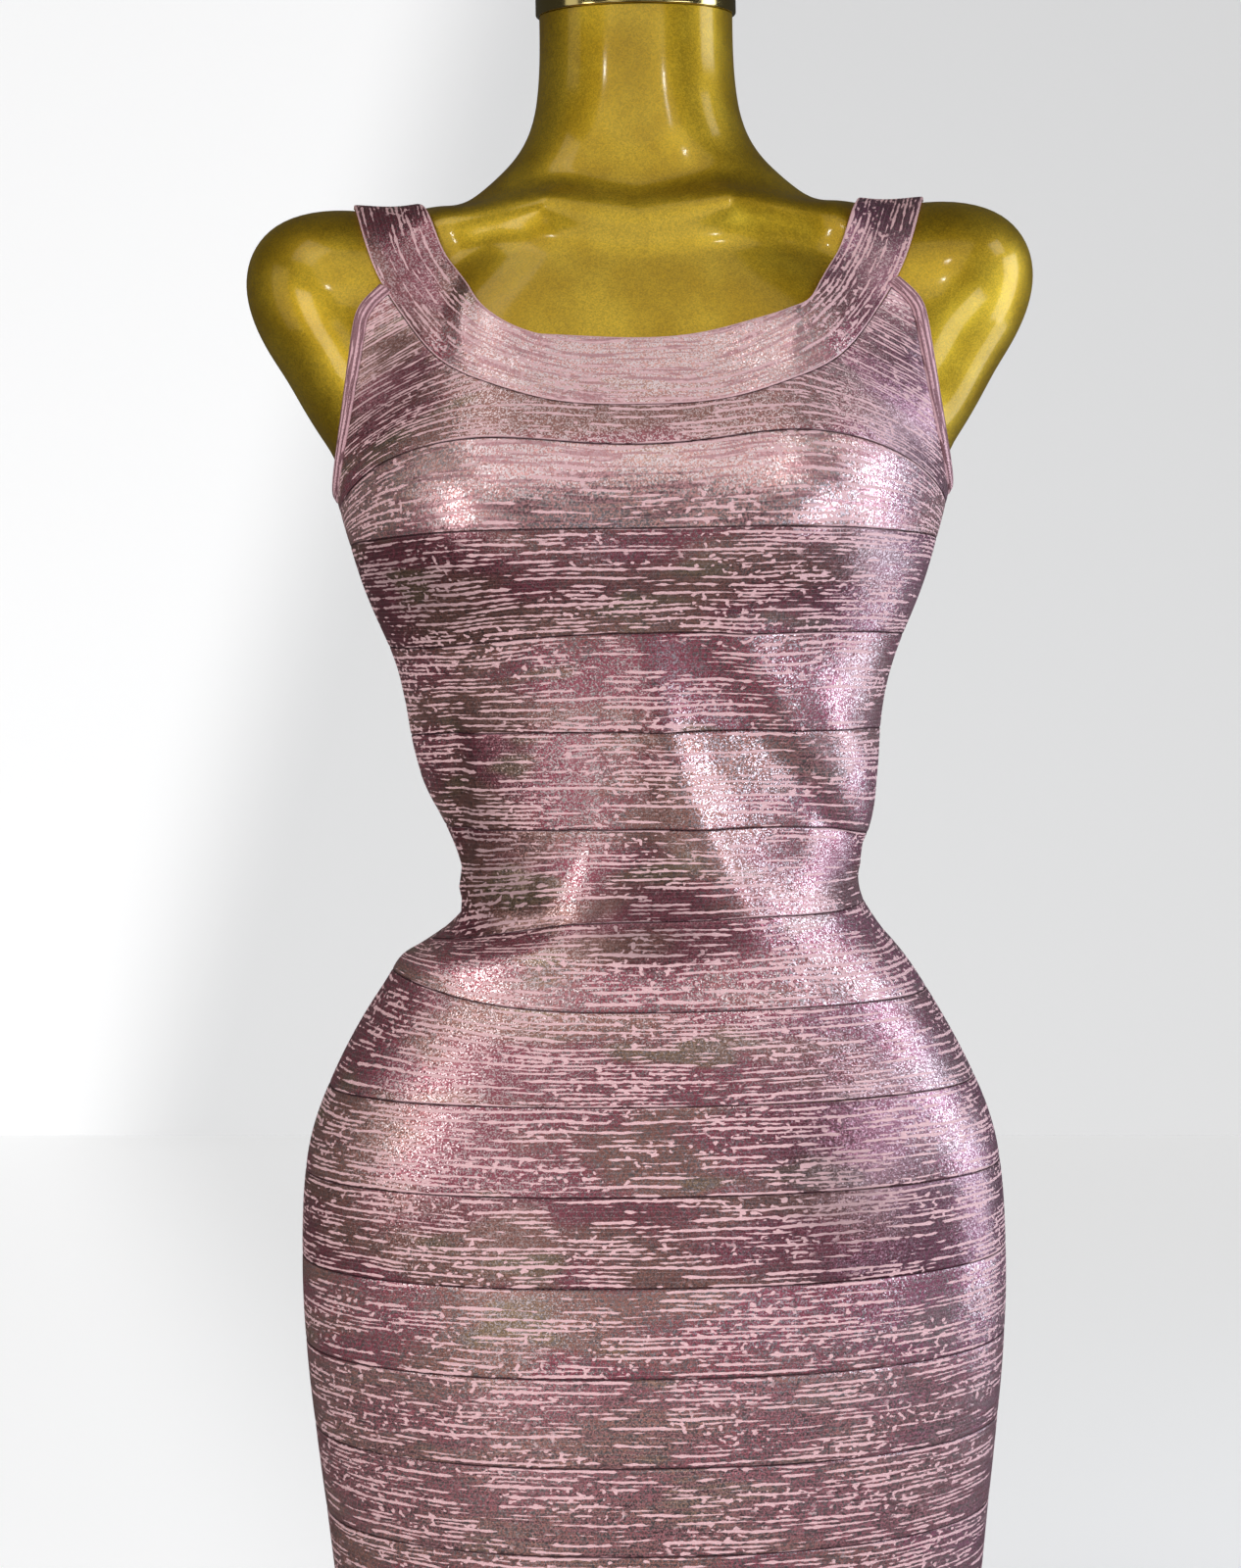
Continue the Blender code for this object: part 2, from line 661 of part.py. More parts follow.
def neck_cap(finish):
    """Polished round cap on the flat top of the neck."""
    bottom = NECK_TOP + SEAM_GAP
    top = bottom + CAP_HEIGHT
    profile = [
        (CAP_RADIUS - CAP_EDGE, bottom),
        (CAP_RADIUS, bottom + CAP_EDGE),
        (CAP_RADIUS, top - 3 * CAP_EDGE),
        (CAP_RADIUS - CAP_EDGE, top - CAP_EDGE),
        (CAP_RADIUS - 3 * CAP_EDGE, top),
    ]
    angle = np.linspace(0, 2 * math.pi, CAP_STEPS, endpoint=False)
    points = np.array([(r * math.cos(a), r * math.sin(a), z) for r, z in profile for a in angle])
    points[:, 2] += NECK_LEAN * points[:, 1]
    return solid("form_neck_cap", points, stacked_faces(len(profile), CAP_STEPS), finish)


def main():
    """Build every piece."""
    for old in list(bpy.data.objects):
        bpy.data.objects.remove(old, do_unlink=True)
    gold = material("gold_paint", GOLD, roughness=0.35, metallic=0.8)
    polished = material("polished_gold", POLISHED_GOLD, roughness=0.10, metallic=1.0)
    knit = material("foil_knit", MAUVE, roughness=0.45, metallic=0.3)
    edging = material("knit_edging", PINK, roughness=0.50, metallic=0.2)
    yokes = {side: Yoke(side) for side in ("front", "back")}
    steps = {"front": FRONT_STEPS, "back": BACK_STEPS}
    for side, yoke in yokes.items():
        neckband(yoke, knit)
        yoke_panel(yoke, knit)
        band(side, 1, yoke.columns, knit)
        for number in range(2, len(SEAMS)):
            band(side, number, even_columns(steps[side]), knit)
    armhole_binding("armhole_binding_left", 1, yokes, edging)
    armhole_binding("armhole_binding_right", -1, yokes, edging)
    torso(gold)
    neck_cap(polished)


main()
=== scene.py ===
"""Bodycon dress of foil-printed knitted strips on a gold armless display torso, in a pale studio.

Metres, +Z up. The dress faces -Y and its wearer's left arm side is +X. The body surface, the lines
that the dress is cut along and its large folds are worked out here as they are for the solids, then
every strip is knitted finer: rolled edges, creases, thread and foil.
"""

import logging
import math
from collections.abc import Callable
from dataclasses import dataclass
from enum import Enum

import bpy
import numpy as np
from mathutils import Matrix, Vector


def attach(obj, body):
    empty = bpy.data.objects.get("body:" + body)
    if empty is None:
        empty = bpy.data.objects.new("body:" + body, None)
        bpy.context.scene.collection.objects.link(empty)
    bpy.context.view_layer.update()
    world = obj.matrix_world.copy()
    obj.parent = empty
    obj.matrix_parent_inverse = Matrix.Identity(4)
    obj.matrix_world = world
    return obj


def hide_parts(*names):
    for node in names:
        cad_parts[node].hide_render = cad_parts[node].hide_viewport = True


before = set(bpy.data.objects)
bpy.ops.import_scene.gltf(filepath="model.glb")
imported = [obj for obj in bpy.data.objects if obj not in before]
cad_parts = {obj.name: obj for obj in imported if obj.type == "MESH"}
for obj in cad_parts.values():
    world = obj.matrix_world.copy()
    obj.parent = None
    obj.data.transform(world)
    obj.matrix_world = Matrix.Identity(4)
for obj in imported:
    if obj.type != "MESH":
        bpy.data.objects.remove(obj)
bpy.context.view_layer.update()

MM = 0.001
LOG = logging.getLogger("dress")

# The cloth, and how its pieces lie side by side
WALL = 1.8 * MM
CLEARANCE = 1.4 * MM
SEAM_GAP = 0.3 * MM
SEAM_RADIUS = 165 * MM
EDGE_STEPS = np.array([0, 0.3, 0.7, 1.3, 2.4]) * MM
HALF_GAP_DEGREES = math.degrees(SEAM_GAP / 2 / SEAM_RADIUS)
BINDING_END = 0.006
STRAP_TURN = 18
CORNER_SPAN = 12
TRUNK_SQUASH = 0.65
YOKE_SQUASH = 0.4

# How far the top of the neck and its cap rise for each metre towards the back
NECK_LEAN = 0.138

# How softly the body's forms melt together, on the torso and under the cloth
TORSO_BLEND = 14 * MM
CLOTH_BLEND = 24 * MM

# How the body surface is looked for
FAN_HEIGHT = 800 * MM
EYE_OF_SHOULDER = 830 * MM
REACH = 0.34
HALVINGS = 26
SLOPE_STEP = 0.4 * MM
FINE_STEPS = 480

# What a piece of cloth carries for its finish: the run of its threads, the distance from its
# nearer long edge, to which the mark is added if its edges are sewn, and the tone of its foil,
# which holds the foil's own paleness and also painted light and shade
WEAVE = "weave"
EDGE = "edge"
TONE = "tone"
SEWN_MARK = -1.0

Curve = Callable[[np.ndarray], np.ndarray]
Colour = tuple[float, float, float, float]
Span = tuple[float, float]
Socket = bpy.types.NodeSocket


def spline(knots: np.ndarray, values: np.ndarray) -> Curve:
    """Natural cubic curve.

    Args:
        knots: Where the curve is known, rising.
        values: Its values there.

    Returns:
        The curve as a function that holds its end values beyond the ends.
    """
    knots = np.asarray(knots, float)
    values = np.asarray(values, float)
    step = np.diff(knots)
    count = len(knots)
    system = np.eye(count)
    right = np.zeros(count)
    for i in range(1, count - 1):
        system[i, i - 1 : i + 2] = step[i - 1], 2 * (step[i - 1] + step[i]), step[i]
        rise, rise_before = values[i + 1] - values[i], values[i] - values[i - 1]
        right[i] = 6 * (rise / step[i] - rise_before / step[i - 1])
    bend = np.linalg.solve(system, right)

    def curve(where: np.ndarray) -> np.ndarray:
        """Value of the curve at the given places.

        Args:
            where: Places along the knots.

        Returns:
            The curve's values, as many as there are places.
        """
        where = np.clip(where, knots[0], knots[-1])
        i = np.clip(np.searchsorted(knots, where) - 1, 0, count - 2)
        left = where - knots[i]
        rest = knots[i + 1] - where
        width = step[i]
        return (
            (bend[i] * rest**3 + bend[i + 1] * left**3) / (6 * width)
            + (values[i] / width - bend[i] * width / 6) * rest
            + (values[i + 1] / width - bend[i + 1] * width / 6) * left
        )

    return curve


def closed_spline(degrees: np.ndarray, values: np.ndarray) -> Curve:
    """Natural cubic curve that comes back to its start after a full turn.

    Args:
        degrees: Where the curve is known, rising within one turn.
        values: Its values there.

    Returns:
        The curve as a function of degrees.
    """
    turns = np.concatenate([np.asarray(degrees) + shift for shift in (-360, 0, 360)])
    return spline(turns, np.tile(values, 3))


def wrapped(degrees: np.ndarray) -> np.ndarray:
    """The same turn written as -180 to 180 degrees."""
    return (degrees + 180) % 360 - 180


def angle_of(points: np.ndarray) -> np.ndarray:
    """Bearings of points, in radians counted from +X."""
    return np.arctan2(points[..., 1], points[..., 0])


def from_front(angle: np.ndarray) -> np.ndarray:
    """Degrees round from the middle of the front, -180 to 180, of a bearing counted from +X."""
    return wrapped(np.degrees(angle) + 90)


def bell(away: np.ndarray, reach: float | np.ndarray) -> np.ndarray:
    """Soft bump that is 1 in its middle and about a third at its reach."""
    return np.exp(-((away / reach) ** 2))


def soft_union(one: np.ndarray, other: np.ndarray, blend: float) -> np.ndarray:
    """Smaller of two distances, rounded where they are close."""
    share = np.clip(0.5 + 0.5 * (other - one) / blend, 0, 1)
    return other + (one - other) * share - blend * share * (1 - share)


def run_along(points: np.ndarray, axis: int) -> np.ndarray:
    """Distance along a grid of points from its first row or column.

    Args:
        points: Grid of points, rows by columns by 3.
        axis: 0 to follow the columns upwards, 1 to follow the rows.

    Returns:
        Distances, rows by columns.
    """
    step = np.linalg.norm(np.diff(points, axis=axis), axis=-1)
    total = np.cumsum(step, axis=axis)
    first = np.zeros_like(np.take(total, [0], axis=axis))
    return np.concatenate([first, total], axis=axis)


def strip_runs(points: np.ndarray, centred: bool = True) -> tuple[np.ndarray, ...]:
    """Measure a strip of cloth.

    Args:
        points: Grid of points, from the lower edge up by columns by 3.
        centred: Whether the lengths along it count from its middle column.

    Returns:
        Lengths along the strip, lengths up from its lower edge, and distances from the nearer
        one of its two long edges, each rows by columns.
    """
    along = run_along(points, 1)
    if centred:
        along = along - along[:, [along.shape[1] // 2]]
    upward = run_along(points, 0)
    return along, upward, np.minimum(upward, upward[-1] - upward)


class BodyForm:
    """The general figure that the cloth lies on.

    Trunk, shoulder caps and collarbones are melted together.
    """

    # Trunk, chest and neck, in mm: height, half width, depth in front, depth behind, fullness
    TRUNK = np.array([
        (0, 160.0, 90, 92, 2.15),
        (60, 164.0, 94, 97, 2.15),
        (160, 171.9, 100, 106, 2.15),
        (232, 180.2, 105, 117, 2.15),
        (298, 186.4, 108, 130, 2.12),
        (360, 186.4, 108, 133, 2.10),
        (396, 181.8, 106, 126, 2.10),
        (433, 167.6, 101, 112, 2.10),
        (463, 151.0, 95, 98, 2.10),
        (493, 128.8, 88, 84, 2.10),
        (517, 109.0, 84, 75, 2.10),
        (543, 105.5, 81, 71, 2.10),
        (576, 115.8, 83, 73, 2.12),
        (613, 123.2, 88, 79, 2.15),
        (648, 131.6, 95, 86, 2.18),
        (687, 147.4, 105, 93, 2.20),
        (742, 158.6, 111, 99, 2.25),
        (788, 155.0, 99, 97, 2.25),
        (838, 136.0, 82, 85, 2.20),
        (878, 99.0, 66, 71, 2.10),
        (902, 86.0, 58, 61, 2.05),
        (916, 72.0, 55.5, 58, 2.00),
        (931, 61.5, 54.5, 56, 2.00),
        (955, 55.2, 53.4, 54.4, 2.00),
        (999, 53.6, 53.6, 53.6, 2.00),
    ])
    # Mounds on both sides: degrees from the front, height, half angle, reach up, reach down, rise
    MOUNDS = np.array([
        (37, 718, 23, 58, 49, 17),
        (146, 330, 26, 62, 52, 10),
        (140, 780, 22, 50, 60, 6),
    ])
    SHOULDER_MIDDLE = (140 * MM, 830 * MM)
    SHOULDER_DEPTH = 53 * MM
    # Outline of the shoulder cap seen from the front: degrees up from level, reach in mm
    SHOULDER_OUTLINE = np.array([
        (-153, 112), (-112, 107), (-84, 92), (-70, 76), (-58, 67), (-43, 61), (-26, 59.4),
        (-8, 64.4), (6, 71.2), (18, 77.4), (29, 81.2), (44, 81), (60, 74.6), (78, 67),
        (107, 68.2), (123, 80), (145, 88), (169, 100),
    ])
    # Middle line of the collarbone on the +X side, in mm
    COLLARBONE = np.array([(4, -60, 874), (46, -58, 883), (98, -30, 878)])
    COLLARBONE_RADIUS = 8 * MM

    def __init__(self) -> None:
        """Prepare the curves that the tables stand for."""
        height = self.TRUNK[:, 0]
        self.half_width, self.front, self.back, self.fullness = (
            spline(height, self.TRUNK[:, column]) for column in range(1, 5)
        )
        degrees, reach = self.SHOULDER_OUTLINE.T
        self.shoulder_reach = closed_spline(degrees, reach * MM)

    def trunk_radius(self, angle: np.ndarray, z: np.ndarray) -> np.ndarray:
        """Radius of the trunk at a bearing and a height.

        Args:
            angle: Bearings in radians, counted from +X.
            z: Heights.

        Returns:
            Distances from the upright middle line.
        """
        height = z / MM
        half_width = self.half_width(height) * MM
        front = self.front(height) * MM
        back = self.back(height) * MM
        depth = (front + back) / 2 + (back - front) / 2 * np.sin(angle)
        power = self.fullness(height)
        across = np.abs(np.cos(angle)) / half_width
        along = np.abs(np.sin(angle)) / depth
        radius = (across**power + along**power) ** (-1 / power)
        bearing = from_front(angle)
        for degrees, level, half_angle, above, below, rise in self.MOUNDS:
            tall = np.where(height > level, above, below)
            upright = bell(height - level, tall)
            for side in (-1, 1):
                away = wrapped(bearing - side * degrees)
                radius = radius + rise * MM * upright * bell(away, half_angle)
        return radius

    def distance(self, points: np.ndarray, blend: float) -> np.ndarray:
        """Roughly how far points are outside the body surface.

        Args:
            points: Points, with x, y and z along the last axis.
            blend: How softly shoulder caps and collarbones melt into the trunk.

        Returns:
            Distances, negative inside.
        """
        x, y, z = np.moveaxis(points, -1, 0)
        trunk = np.hypot(x, y) - self.trunk_radius(np.arctan2(y, x), z)
        across = np.abs(x) - self.SHOULDER_MIDDLE[0]
        up = z - self.SHOULDER_MIDDLE[1]
        outline = self.shoulder_reach(np.degrees(np.arctan2(up, across)))
        ratio = np.sqrt((np.hypot(across, up) / outline) ** 2 + (y / self.SHOULDER_DEPTH) ** 2)
        body = soft_union(trunk, (ratio - 1) * self.SHOULDER_DEPTH, blend)
        nearest = np.inf
        for start, end in zip(self.COLLARBONE[:-1] * MM, self.COLLARBONE[1:] * MM):
            line = end - start
            beside = np.stack([np.abs(x), y, z], axis=-1) - start
            share = np.clip(beside @ line / (line @ line), 0, 1)
            nearest = np.minimum(nearest, np.linalg.norm(beside - share[..., None] * line, axis=-1))
        return soft_union(body, nearest - self.COLLARBONE_RADIUS, (blend + CLOTH_BLEND) / 2)

    def along_ray(
        self, start: np.ndarray, direction: np.ndarray, blend: float = CLOTH_BLEND
    ) -> np.ndarray:
        """Points where rays from inside the body leave it.

        Args:
            start: Points inside the body, one for each ray.
            direction: Unit directions of the rays.
            blend: How softly the body's forms melt together.

        Returns:
            Points of the body surface.
        """
        near = np.zeros(start.shape[:-1])
        far = np.full(start.shape[:-1], REACH)
        for _ in range(HALVINGS):
            middle = (near + far) / 2
            inside = self.distance(start + middle[..., None] * direction, blend) < 0
            near = np.where(inside, middle, near)
            far = np.where(inside, far, middle)
        return start + near[..., None] * direction

    def round_body(
        self, angle: np.ndarray, z: np.ndarray, blend: float = CLOTH_BLEND
    ) -> np.ndarray:
        """Body surface at a bearing and a height.

        Args:
            angle: Bearings in radians, counted from +X.
            z: Heights.
            blend: How softly the body's forms melt together.

        Returns:
            Points, as many as bearings and heights give together.
        """
        angle, z = np.broadcast_arrays(angle, z)
        level = np.zeros_like(z, dtype=float)
        start = np.stack([level, level, z], axis=-1)
        direction = np.stack([np.cos(angle), np.sin(angle), level], axis=-1)
        return self.along_ray(start, direction, blend)

    def under(self, points: np.ndarray) -> np.ndarray:
        """Body surface at the bearings and heights of points near it."""
        return self.round_body(angle_of(points), points[..., 2])

    def over_shoulder(self, x: np.ndarray, turn: np.ndarray) -> np.ndarray:
        """Body surface at a distance from the middle and degrees of turn from facing forward.

        Args:
            x: Distances from the middle, towards +X.
            turn: Degrees over the shoulder from facing forward, 90 on its top.

        Returns:
            Points, as many as distances and turns give together.
        """
        x, turn = np.broadcast_arrays(x, np.radians(turn))
        level = np.zeros_like(x, dtype=float)
        start = np.stack([x, level, level + EYE_OF_SHOULDER], axis=-1)
        return self.along_ray(start, np.stack([level, -np.cos(turn), np.sin(turn)], axis=-1))

    def outward(self, points: np.ndarray, blend: float = CLOTH_BLEND) -> np.ndarray:
        """Unit directions out of the body surface.

        Args:
            points: Points of the surface.
            blend: How softly the body's forms melt together.

        Returns:
            One direction for each point.
        """
        slope = np.empty_like(points)
        for axis in range(3):
            step = np.zeros(3)
            step[axis] = SLOPE_STEP
            ahead, behind = (self.distance(points + way * step, blend) for way in (1, -1))
            slope[..., axis] = ahead - behind
        return slope / np.linalg.norm(slope, axis=-1, keepdims=True)


BODY = BodyForm()


@dataclass(frozen=True)
class Fold:
    """One fold of the cloth, a soft ridge or trough along a short curve.

    The stations are degrees from the front and height in mm, and the half width and rise are in
    mm. A negative rise is a trough.
    """

    stations: tuple[tuple[float, float], ...]
    half_width: float
    rise: float

    # Radius at which degrees count as lengths, steps along the curve, and how far past its
    # ends, in stations, the fold would fade to nothing
    RADIUS = 115 * MM
    SHARES = np.linspace(0, 2, 10)
    TAIL = 0.35

    def at(self, bearing: np.ndarray, height: np.ndarray) -> np.ndarray:
        """How far the fold lifts the cloth at bearings in degrees and heights in metres.

        Args:
            bearing: Degrees from the middle of the front.
            height: Heights.

        Returns:
            Rises, negative in a trough.
        """
        degrees, level = np.array(self.stations).T
        across = np.radians(spline((0, 1, 2), degrees - degrees[1])(self.SHARES)) * self.RADIUS
        upward = spline((0, 1, 2), level * MM)(self.SHARES)
        x = np.radians(wrapped(bearing - degrees[1])) * self.RADIUS
        nearest = np.full(height.shape, np.inf)
        taper = np.zeros(height.shape)
        for i in range(len(self.SHARES) - 1):
            side, rise = across[i + 1] - across[i], upward[i + 1] - upward[i]
            part = ((x - across[i]) * side + (height - upward[i]) * rise) / (side**2 + rise**2)
            part = np.clip(part, 0, 1)
            distance = np.hypot(x - across[i] - part * side, height - upward[i] - part * rise)
            share = self.SHARES[i] + part * (self.SHARES[1] - self.SHARES[0])
            full = np.sin(math.pi * (share + self.TAIL) / (2 + 2 * self.TAIL))
            closer = distance < nearest
            nearest = np.where(closer, distance, nearest)
            taper = np.where(closer, full, taper)
        return self.rise * MM * taper * bell(nearest, self.half_width * MM)


# The large folds, which the solids have too
LARGE_FOLDS = (
    Fold(((-60, 632), (-64, 588), (-70, 545)), 10, -4.2),
    Fold(((-84, 628), (-82, 590), (-84, 556)), 16, 3.5),
    Fold(((24, 664), (52, 620), (83, 564)), 18, 5.5),
    Fold(((22, 636), (40, 598), (66, 556)), 9, -2.5),
    Fold(((-18, 518), (-62, 513), (-120, 521)), 12, -6.5),
    Fold(((-30, 498), (-64, 490), (-100, 492)), 9, 4.0),
    Fold(((-80, 585), (-88, 536), (-92, 508)), 20, -8.5),
    Fold(((86, 585), (92, 540), (94, 500)), 30, 7.0),
    Fold(((160, 548), (180, 536), (200, 548)), 12, 3.0),
    Fold(((158, 520), (180, 510), (202, 520)), 10, -2.5),
)

# Creases of the finer cloth alone: the ridge that slants from the ribs across the waist to the
# hip with the creases beside it, then those at the neckband's corners and the waist's sides
CREASES = (
    Fold(((0, 652), (12, 580), (44, 498)), 17, 6.6),
    Fold(((26, 660), (42, 618), (66, 574)), 8, 2.6),
    Fold(((24, 634), (38, 600), (58, 562)), 9, 2.0),
    Fold(((-24, 566), (-32, 532), (-48, 510)), 10, -2.6),
    Fold(((-53, 850), (-51, 826), (-47, 800)), 5, 2.2),
    Fold(((-59, 846), (-57, 826), (-53, 806)), 5, -1.2),
    Fold(((-28, 824), (-31, 812), (-36, 803)), 6, -1.2),
    Fold(((46, 832), (44, 816), (40, 802)), 6, 1.4),
    Fold(((-58, 560), (-72, 545), (-88, 541)), 4, -1.2),
    Fold(((-62, 548), (-76, 531), (-92, 527)), 4, 1.3),
    Fold(((60, 566), (74, 556), (90, 552)), 4, -1.6),
    Fold(((66, 554), (78, 543), (92, 538)), 4, 1.2),
    Fold(((166, 556), (180, 550), (194, 555)), 5, -1.0),
)


@dataclass(frozen=True)
class PaintedLightPatch:
    """A soft patch of painted light that makes the foil paler, as a painted sheen, or of painted
    shade that makes it darker if the change is negative.

    The bearing is in degrees from the front, and the heights are in mm.
    """

    bearing: float
    height: float
    half_angle: float
    half_height: float
    change: float

    def at(self, points: np.ndarray) -> np.ndarray:
        """How far the patch changes the foil.

        Args:
            points: Points of the body surface.

        Returns:
            Changes of the tone, one for each point.
        """
        away = wrapped(from_front(angle_of(points)) - self.bearing)
        up = points[..., 2] / MM - self.height
        return self.change * np.exp(-((away / self.half_angle) ** 2) - (up / self.half_height) ** 2)


# Painted light and shade on the foil: each positive patch paints a sheen, each negative one paints
# shade
PAINTED_LIGHT_PATCHES = (
    PaintedLightPatch(-20, 605, 12, 55, 0.4),
    PaintedLightPatch(2, 580, 9, 40, -0.6),
    PaintedLightPatch(-45, 606, 9, 26, -0.7),
    PaintedLightPatch(34, 656, 6, 16, 0.7),
    PaintedLightPatch(41, 625, 6, 18, 0.7),
    PaintedLightPatch(53, 595, 7, 16, 0.7),
    PaintedLightPatch(67, 574, 9, 12, 0.6),
    PaintedLightPatch(-72, 496, 12, 9, 0.6),
    PaintedLightPatch(72, 690, 12, 40, 0.6),
    PaintedLightPatch(-60, 690, 20, 30, -1.0),
    PaintedLightPatch(-27, 532, 6, 18, 0.6),
    PaintedLightPatch(-62, 565, 16, 60, -1.1),
    PaintedLightPatch(-2, 518, 24, 22, -0.9),
    PaintedLightPatch(-66, 790, 15, 32, -0.9),
    PaintedLightPatch(66, 790, 15, 32, -0.6),
    PaintedLightPatch(0, 682, 60, 18, -0.3),
    PaintedLightPatch(-32, 480, 22, 14, 0.6),
    PaintedLightPatch(22, 478, 20, 12, 0.4),
    PaintedLightPatch(44, 382, 14, 52, -0.9),
    PaintedLightPatch(-46, 826, 5, 13, 0.8),
    PaintedLightPatch(43, 822, 6, 12, 0.6),
    PaintedLightPatch(170, 600, 20, 50, 0.6),
    PaintedLightPatch(205, 480, 25, 16, 0.4),
    PaintedLightPatch(-50, 536, 14, 24, -1.2),
    PaintedLightPatch(2, 504, 30, 13, -1.1),
    PaintedLightPatch(62, 735, 15, 25, -0.9),
    PaintedLightPatch(0, 772, 25, 14, -0.4),
    PaintedLightPatch(73, 533, 10, 20, -0.5),
)


def fold_rise(points: np.ndarray) -> np.ndarray:
    """How far the folds lift the cloth off its resting place.

    Args:
        points: Points of the body surface.

    Returns:
        Rises, one for each point.
    """
    bearing = from_front(angle_of(points))
    height = points[..., 2]
    total = np.zeros(height.shape)
    for fold in LARGE_FOLDS + CREASES:
        total += fold.at(bearing, height)
    return total


class SeamLines:
    """Ring seams between the strips, and the hem."""

    LEVELS = MM * np.array([
        754, 713, 662, 612, 562, 515, 470, 424, 380, 335, 290, 245, 200, 155, 110, 60,
    ])
    # Where ring seams leave the level: seam, degrees from the front, half angle, rise in mm
    DRIFT = (
        (0, -38, 20, 5),
        (0, 38, 20, 7),
        (0, -90, 22, -23),
        (0, 90, 22, -23),
        (0, -180, 50, -6),
        (5, -82, 34, -11),
        (6, -86, 34, 14),
        (2, -62, 30, -5),
        (4, 84, 24, -4),
    )

    @classmethod
    def height(cls, seam: int, angle: np.ndarray) -> np.ndarray:
        """Height of a ring seam.

        Args:
            seam: Number of the seam, from 0 at the bust down.
            angle: Bearings in radians, counted from +X.

        Returns:
            Heights, one for each bearing.
        """
        height = np.full(np.shape(angle), cls.LEVELS[seam])
        for which, degrees, half_angle, rise in cls.DRIFT:
            if which == seam:
                away = wrapped(from_front(angle) - degrees)
                height = height + rise * MM * bell(away, half_angle)
        return height


class Side(Enum):
    """Which half of the dress a piece belongs to."""

    FRONT = "front"
    BACK = "back"

    def bearing(self, points: np.ndarray) -> np.ndarray:
        """Degrees from the middle of this half, -90 at the -X side and 90 at the +X side."""
        angle = np.degrees(angle_of(points))
        return angle + 90 if self is Side.FRONT else 90 - angle

    def angle(self, bearing: np.ndarray) -> np.ndarray:
        """The same turned back into a bearing counted from +X, in radians."""
        return np.radians(bearing - 90 if self is Side.FRONT else 90 - bearing)

    @property
    def inwards(self) -> int:
        """Sign of the sideways direction that leads from the armhole onto this half."""
        return 1 if self is Side.FRONT else -1


def crowded(bearings: np.ndarray, squash: float) -> np.ndarray:
    """Evenly spread bearings drawn towards the sides, where an oval bends most."""
    turn = np.radians(bearings)
    return np.degrees(np.arctan2(np.sin(turn), squash * np.cos(turn)))


def shifted(points: np.ndarray, distance: float) -> np.ndarray:
    """A line of body surface points moved sideways within the surface.

    Args:
        points: The line, as rows of x, y and z.
        distance: How far it moves, to the left of its run as seen from outside.

    Returns:
        The moved line.
    """
    sideways = np.cross(BODY.outward(points), np.gradient(points, axis=0))
    sideways /= np.linalg.norm(sideways, axis=-1, keepdims=True)
    moved = points + sideways * distance
    return BODY.under(moved)


def read_line(line: np.ndarray, stations: np.ndarray) -> np.ndarray:
    """Points of a line of points at stations counted from its first point."""
    known = np.arange(len(line))
    return np.stack([np.interp(stations, known, column) for column in line.T], axis=-1)


class Neckline:
    """Stations of one half of the neckband, from the -X shoulder to the +X one."""

    # Inner edge and outer edge, each as mm from the middle and degrees of turn over the shoulder
    FRONT = np.array([
        (-120, 90, -154, 90),
        (-113, 64, -148, 60),
        (-104, 40, -140, 32),
        (-96, 24, -132, 14),
        (-87, 9.5, -121, -3.5),
        (-79, -0.5, -104, -18.8),
        (-60, -9, -76, -24.2),
        (-32, -11.5, -40, -27),
        (0, -12.3, 0, -27.8),
        (31, -11, 40, -27),
        (59, -6.7, 76, -24.2),
        (82, -1, 104, -18.8),
        (91, 8, 121, -3.5),
        (99, 23, 132, 14),
        (106, 38, 140, 32),
        (114, 62, 148, 60),
        (120, 90, 154, 90),
    ])
    BACK_HALF = np.array([
        (0, 2, 0, -19),
        (30, 3, 46, -17),
        (58, 7, 85, -10),
        (78, 14, 110, 1),
        (90, 24, 126, 15),
        (100, 38, 137, 31),
        (109, 56, 145, 50),
        (115, 72, 150.5, 70),
        (120, 90, 154, 90),
    ])

    def __init__(self, side: Side) -> None:
        """Prepare the edge curves of one half.

        Args:
            side: The half.
        """
        self.side = side
        table = self.FRONT
        if side is Side.BACK:
            table = np.concatenate([self.BACK_HALF[:0:-1] * (-1, 1, -1, 1), self.BACK_HALF])
        station = np.arange(len(table))
        self.last = len(table) - 1
        self.middle = self.last / 2
        self.inner_x, self.inner_turn, self.outer_x, self.outer_turn = (
            spline(station, column) for column in table.T
        )
        upper = np.linspace(self.middle, self.last, FINE_STEPS)
        self.strap = float(np.interp(STRAP_TURN, self.outer_turn(upper), upper))

    def points(self, station: np.ndarray, share: np.ndarray) -> np.ndarray:
        """Body surface points of the neckband.

        Args:
            station: Stations along it.
            share: Shares of the way across it, 0 at the outer edge and 1 at the inner edge.

        Returns:
            Points, as many as stations and shares give together.
        """
        outer_x, outer_turn = self.outer_x(station), self.outer_turn(station)
        x = outer_x + (self.inner_x(station) - outer_x) * share
        turn = outer_turn + (self.inner_turn(station) - outer_turn) * share
        return BODY.over_shoulder(x * MM, turn if self.side is Side.FRONT else 180 - turn)

    def lower_line(self) -> np.ndarray:
        """Outer edge on the +X half from the middle to where the armhole meets the strap."""
        return self.points(np.linspace(self.middle, self.strap, FINE_STEPS), 0.0)


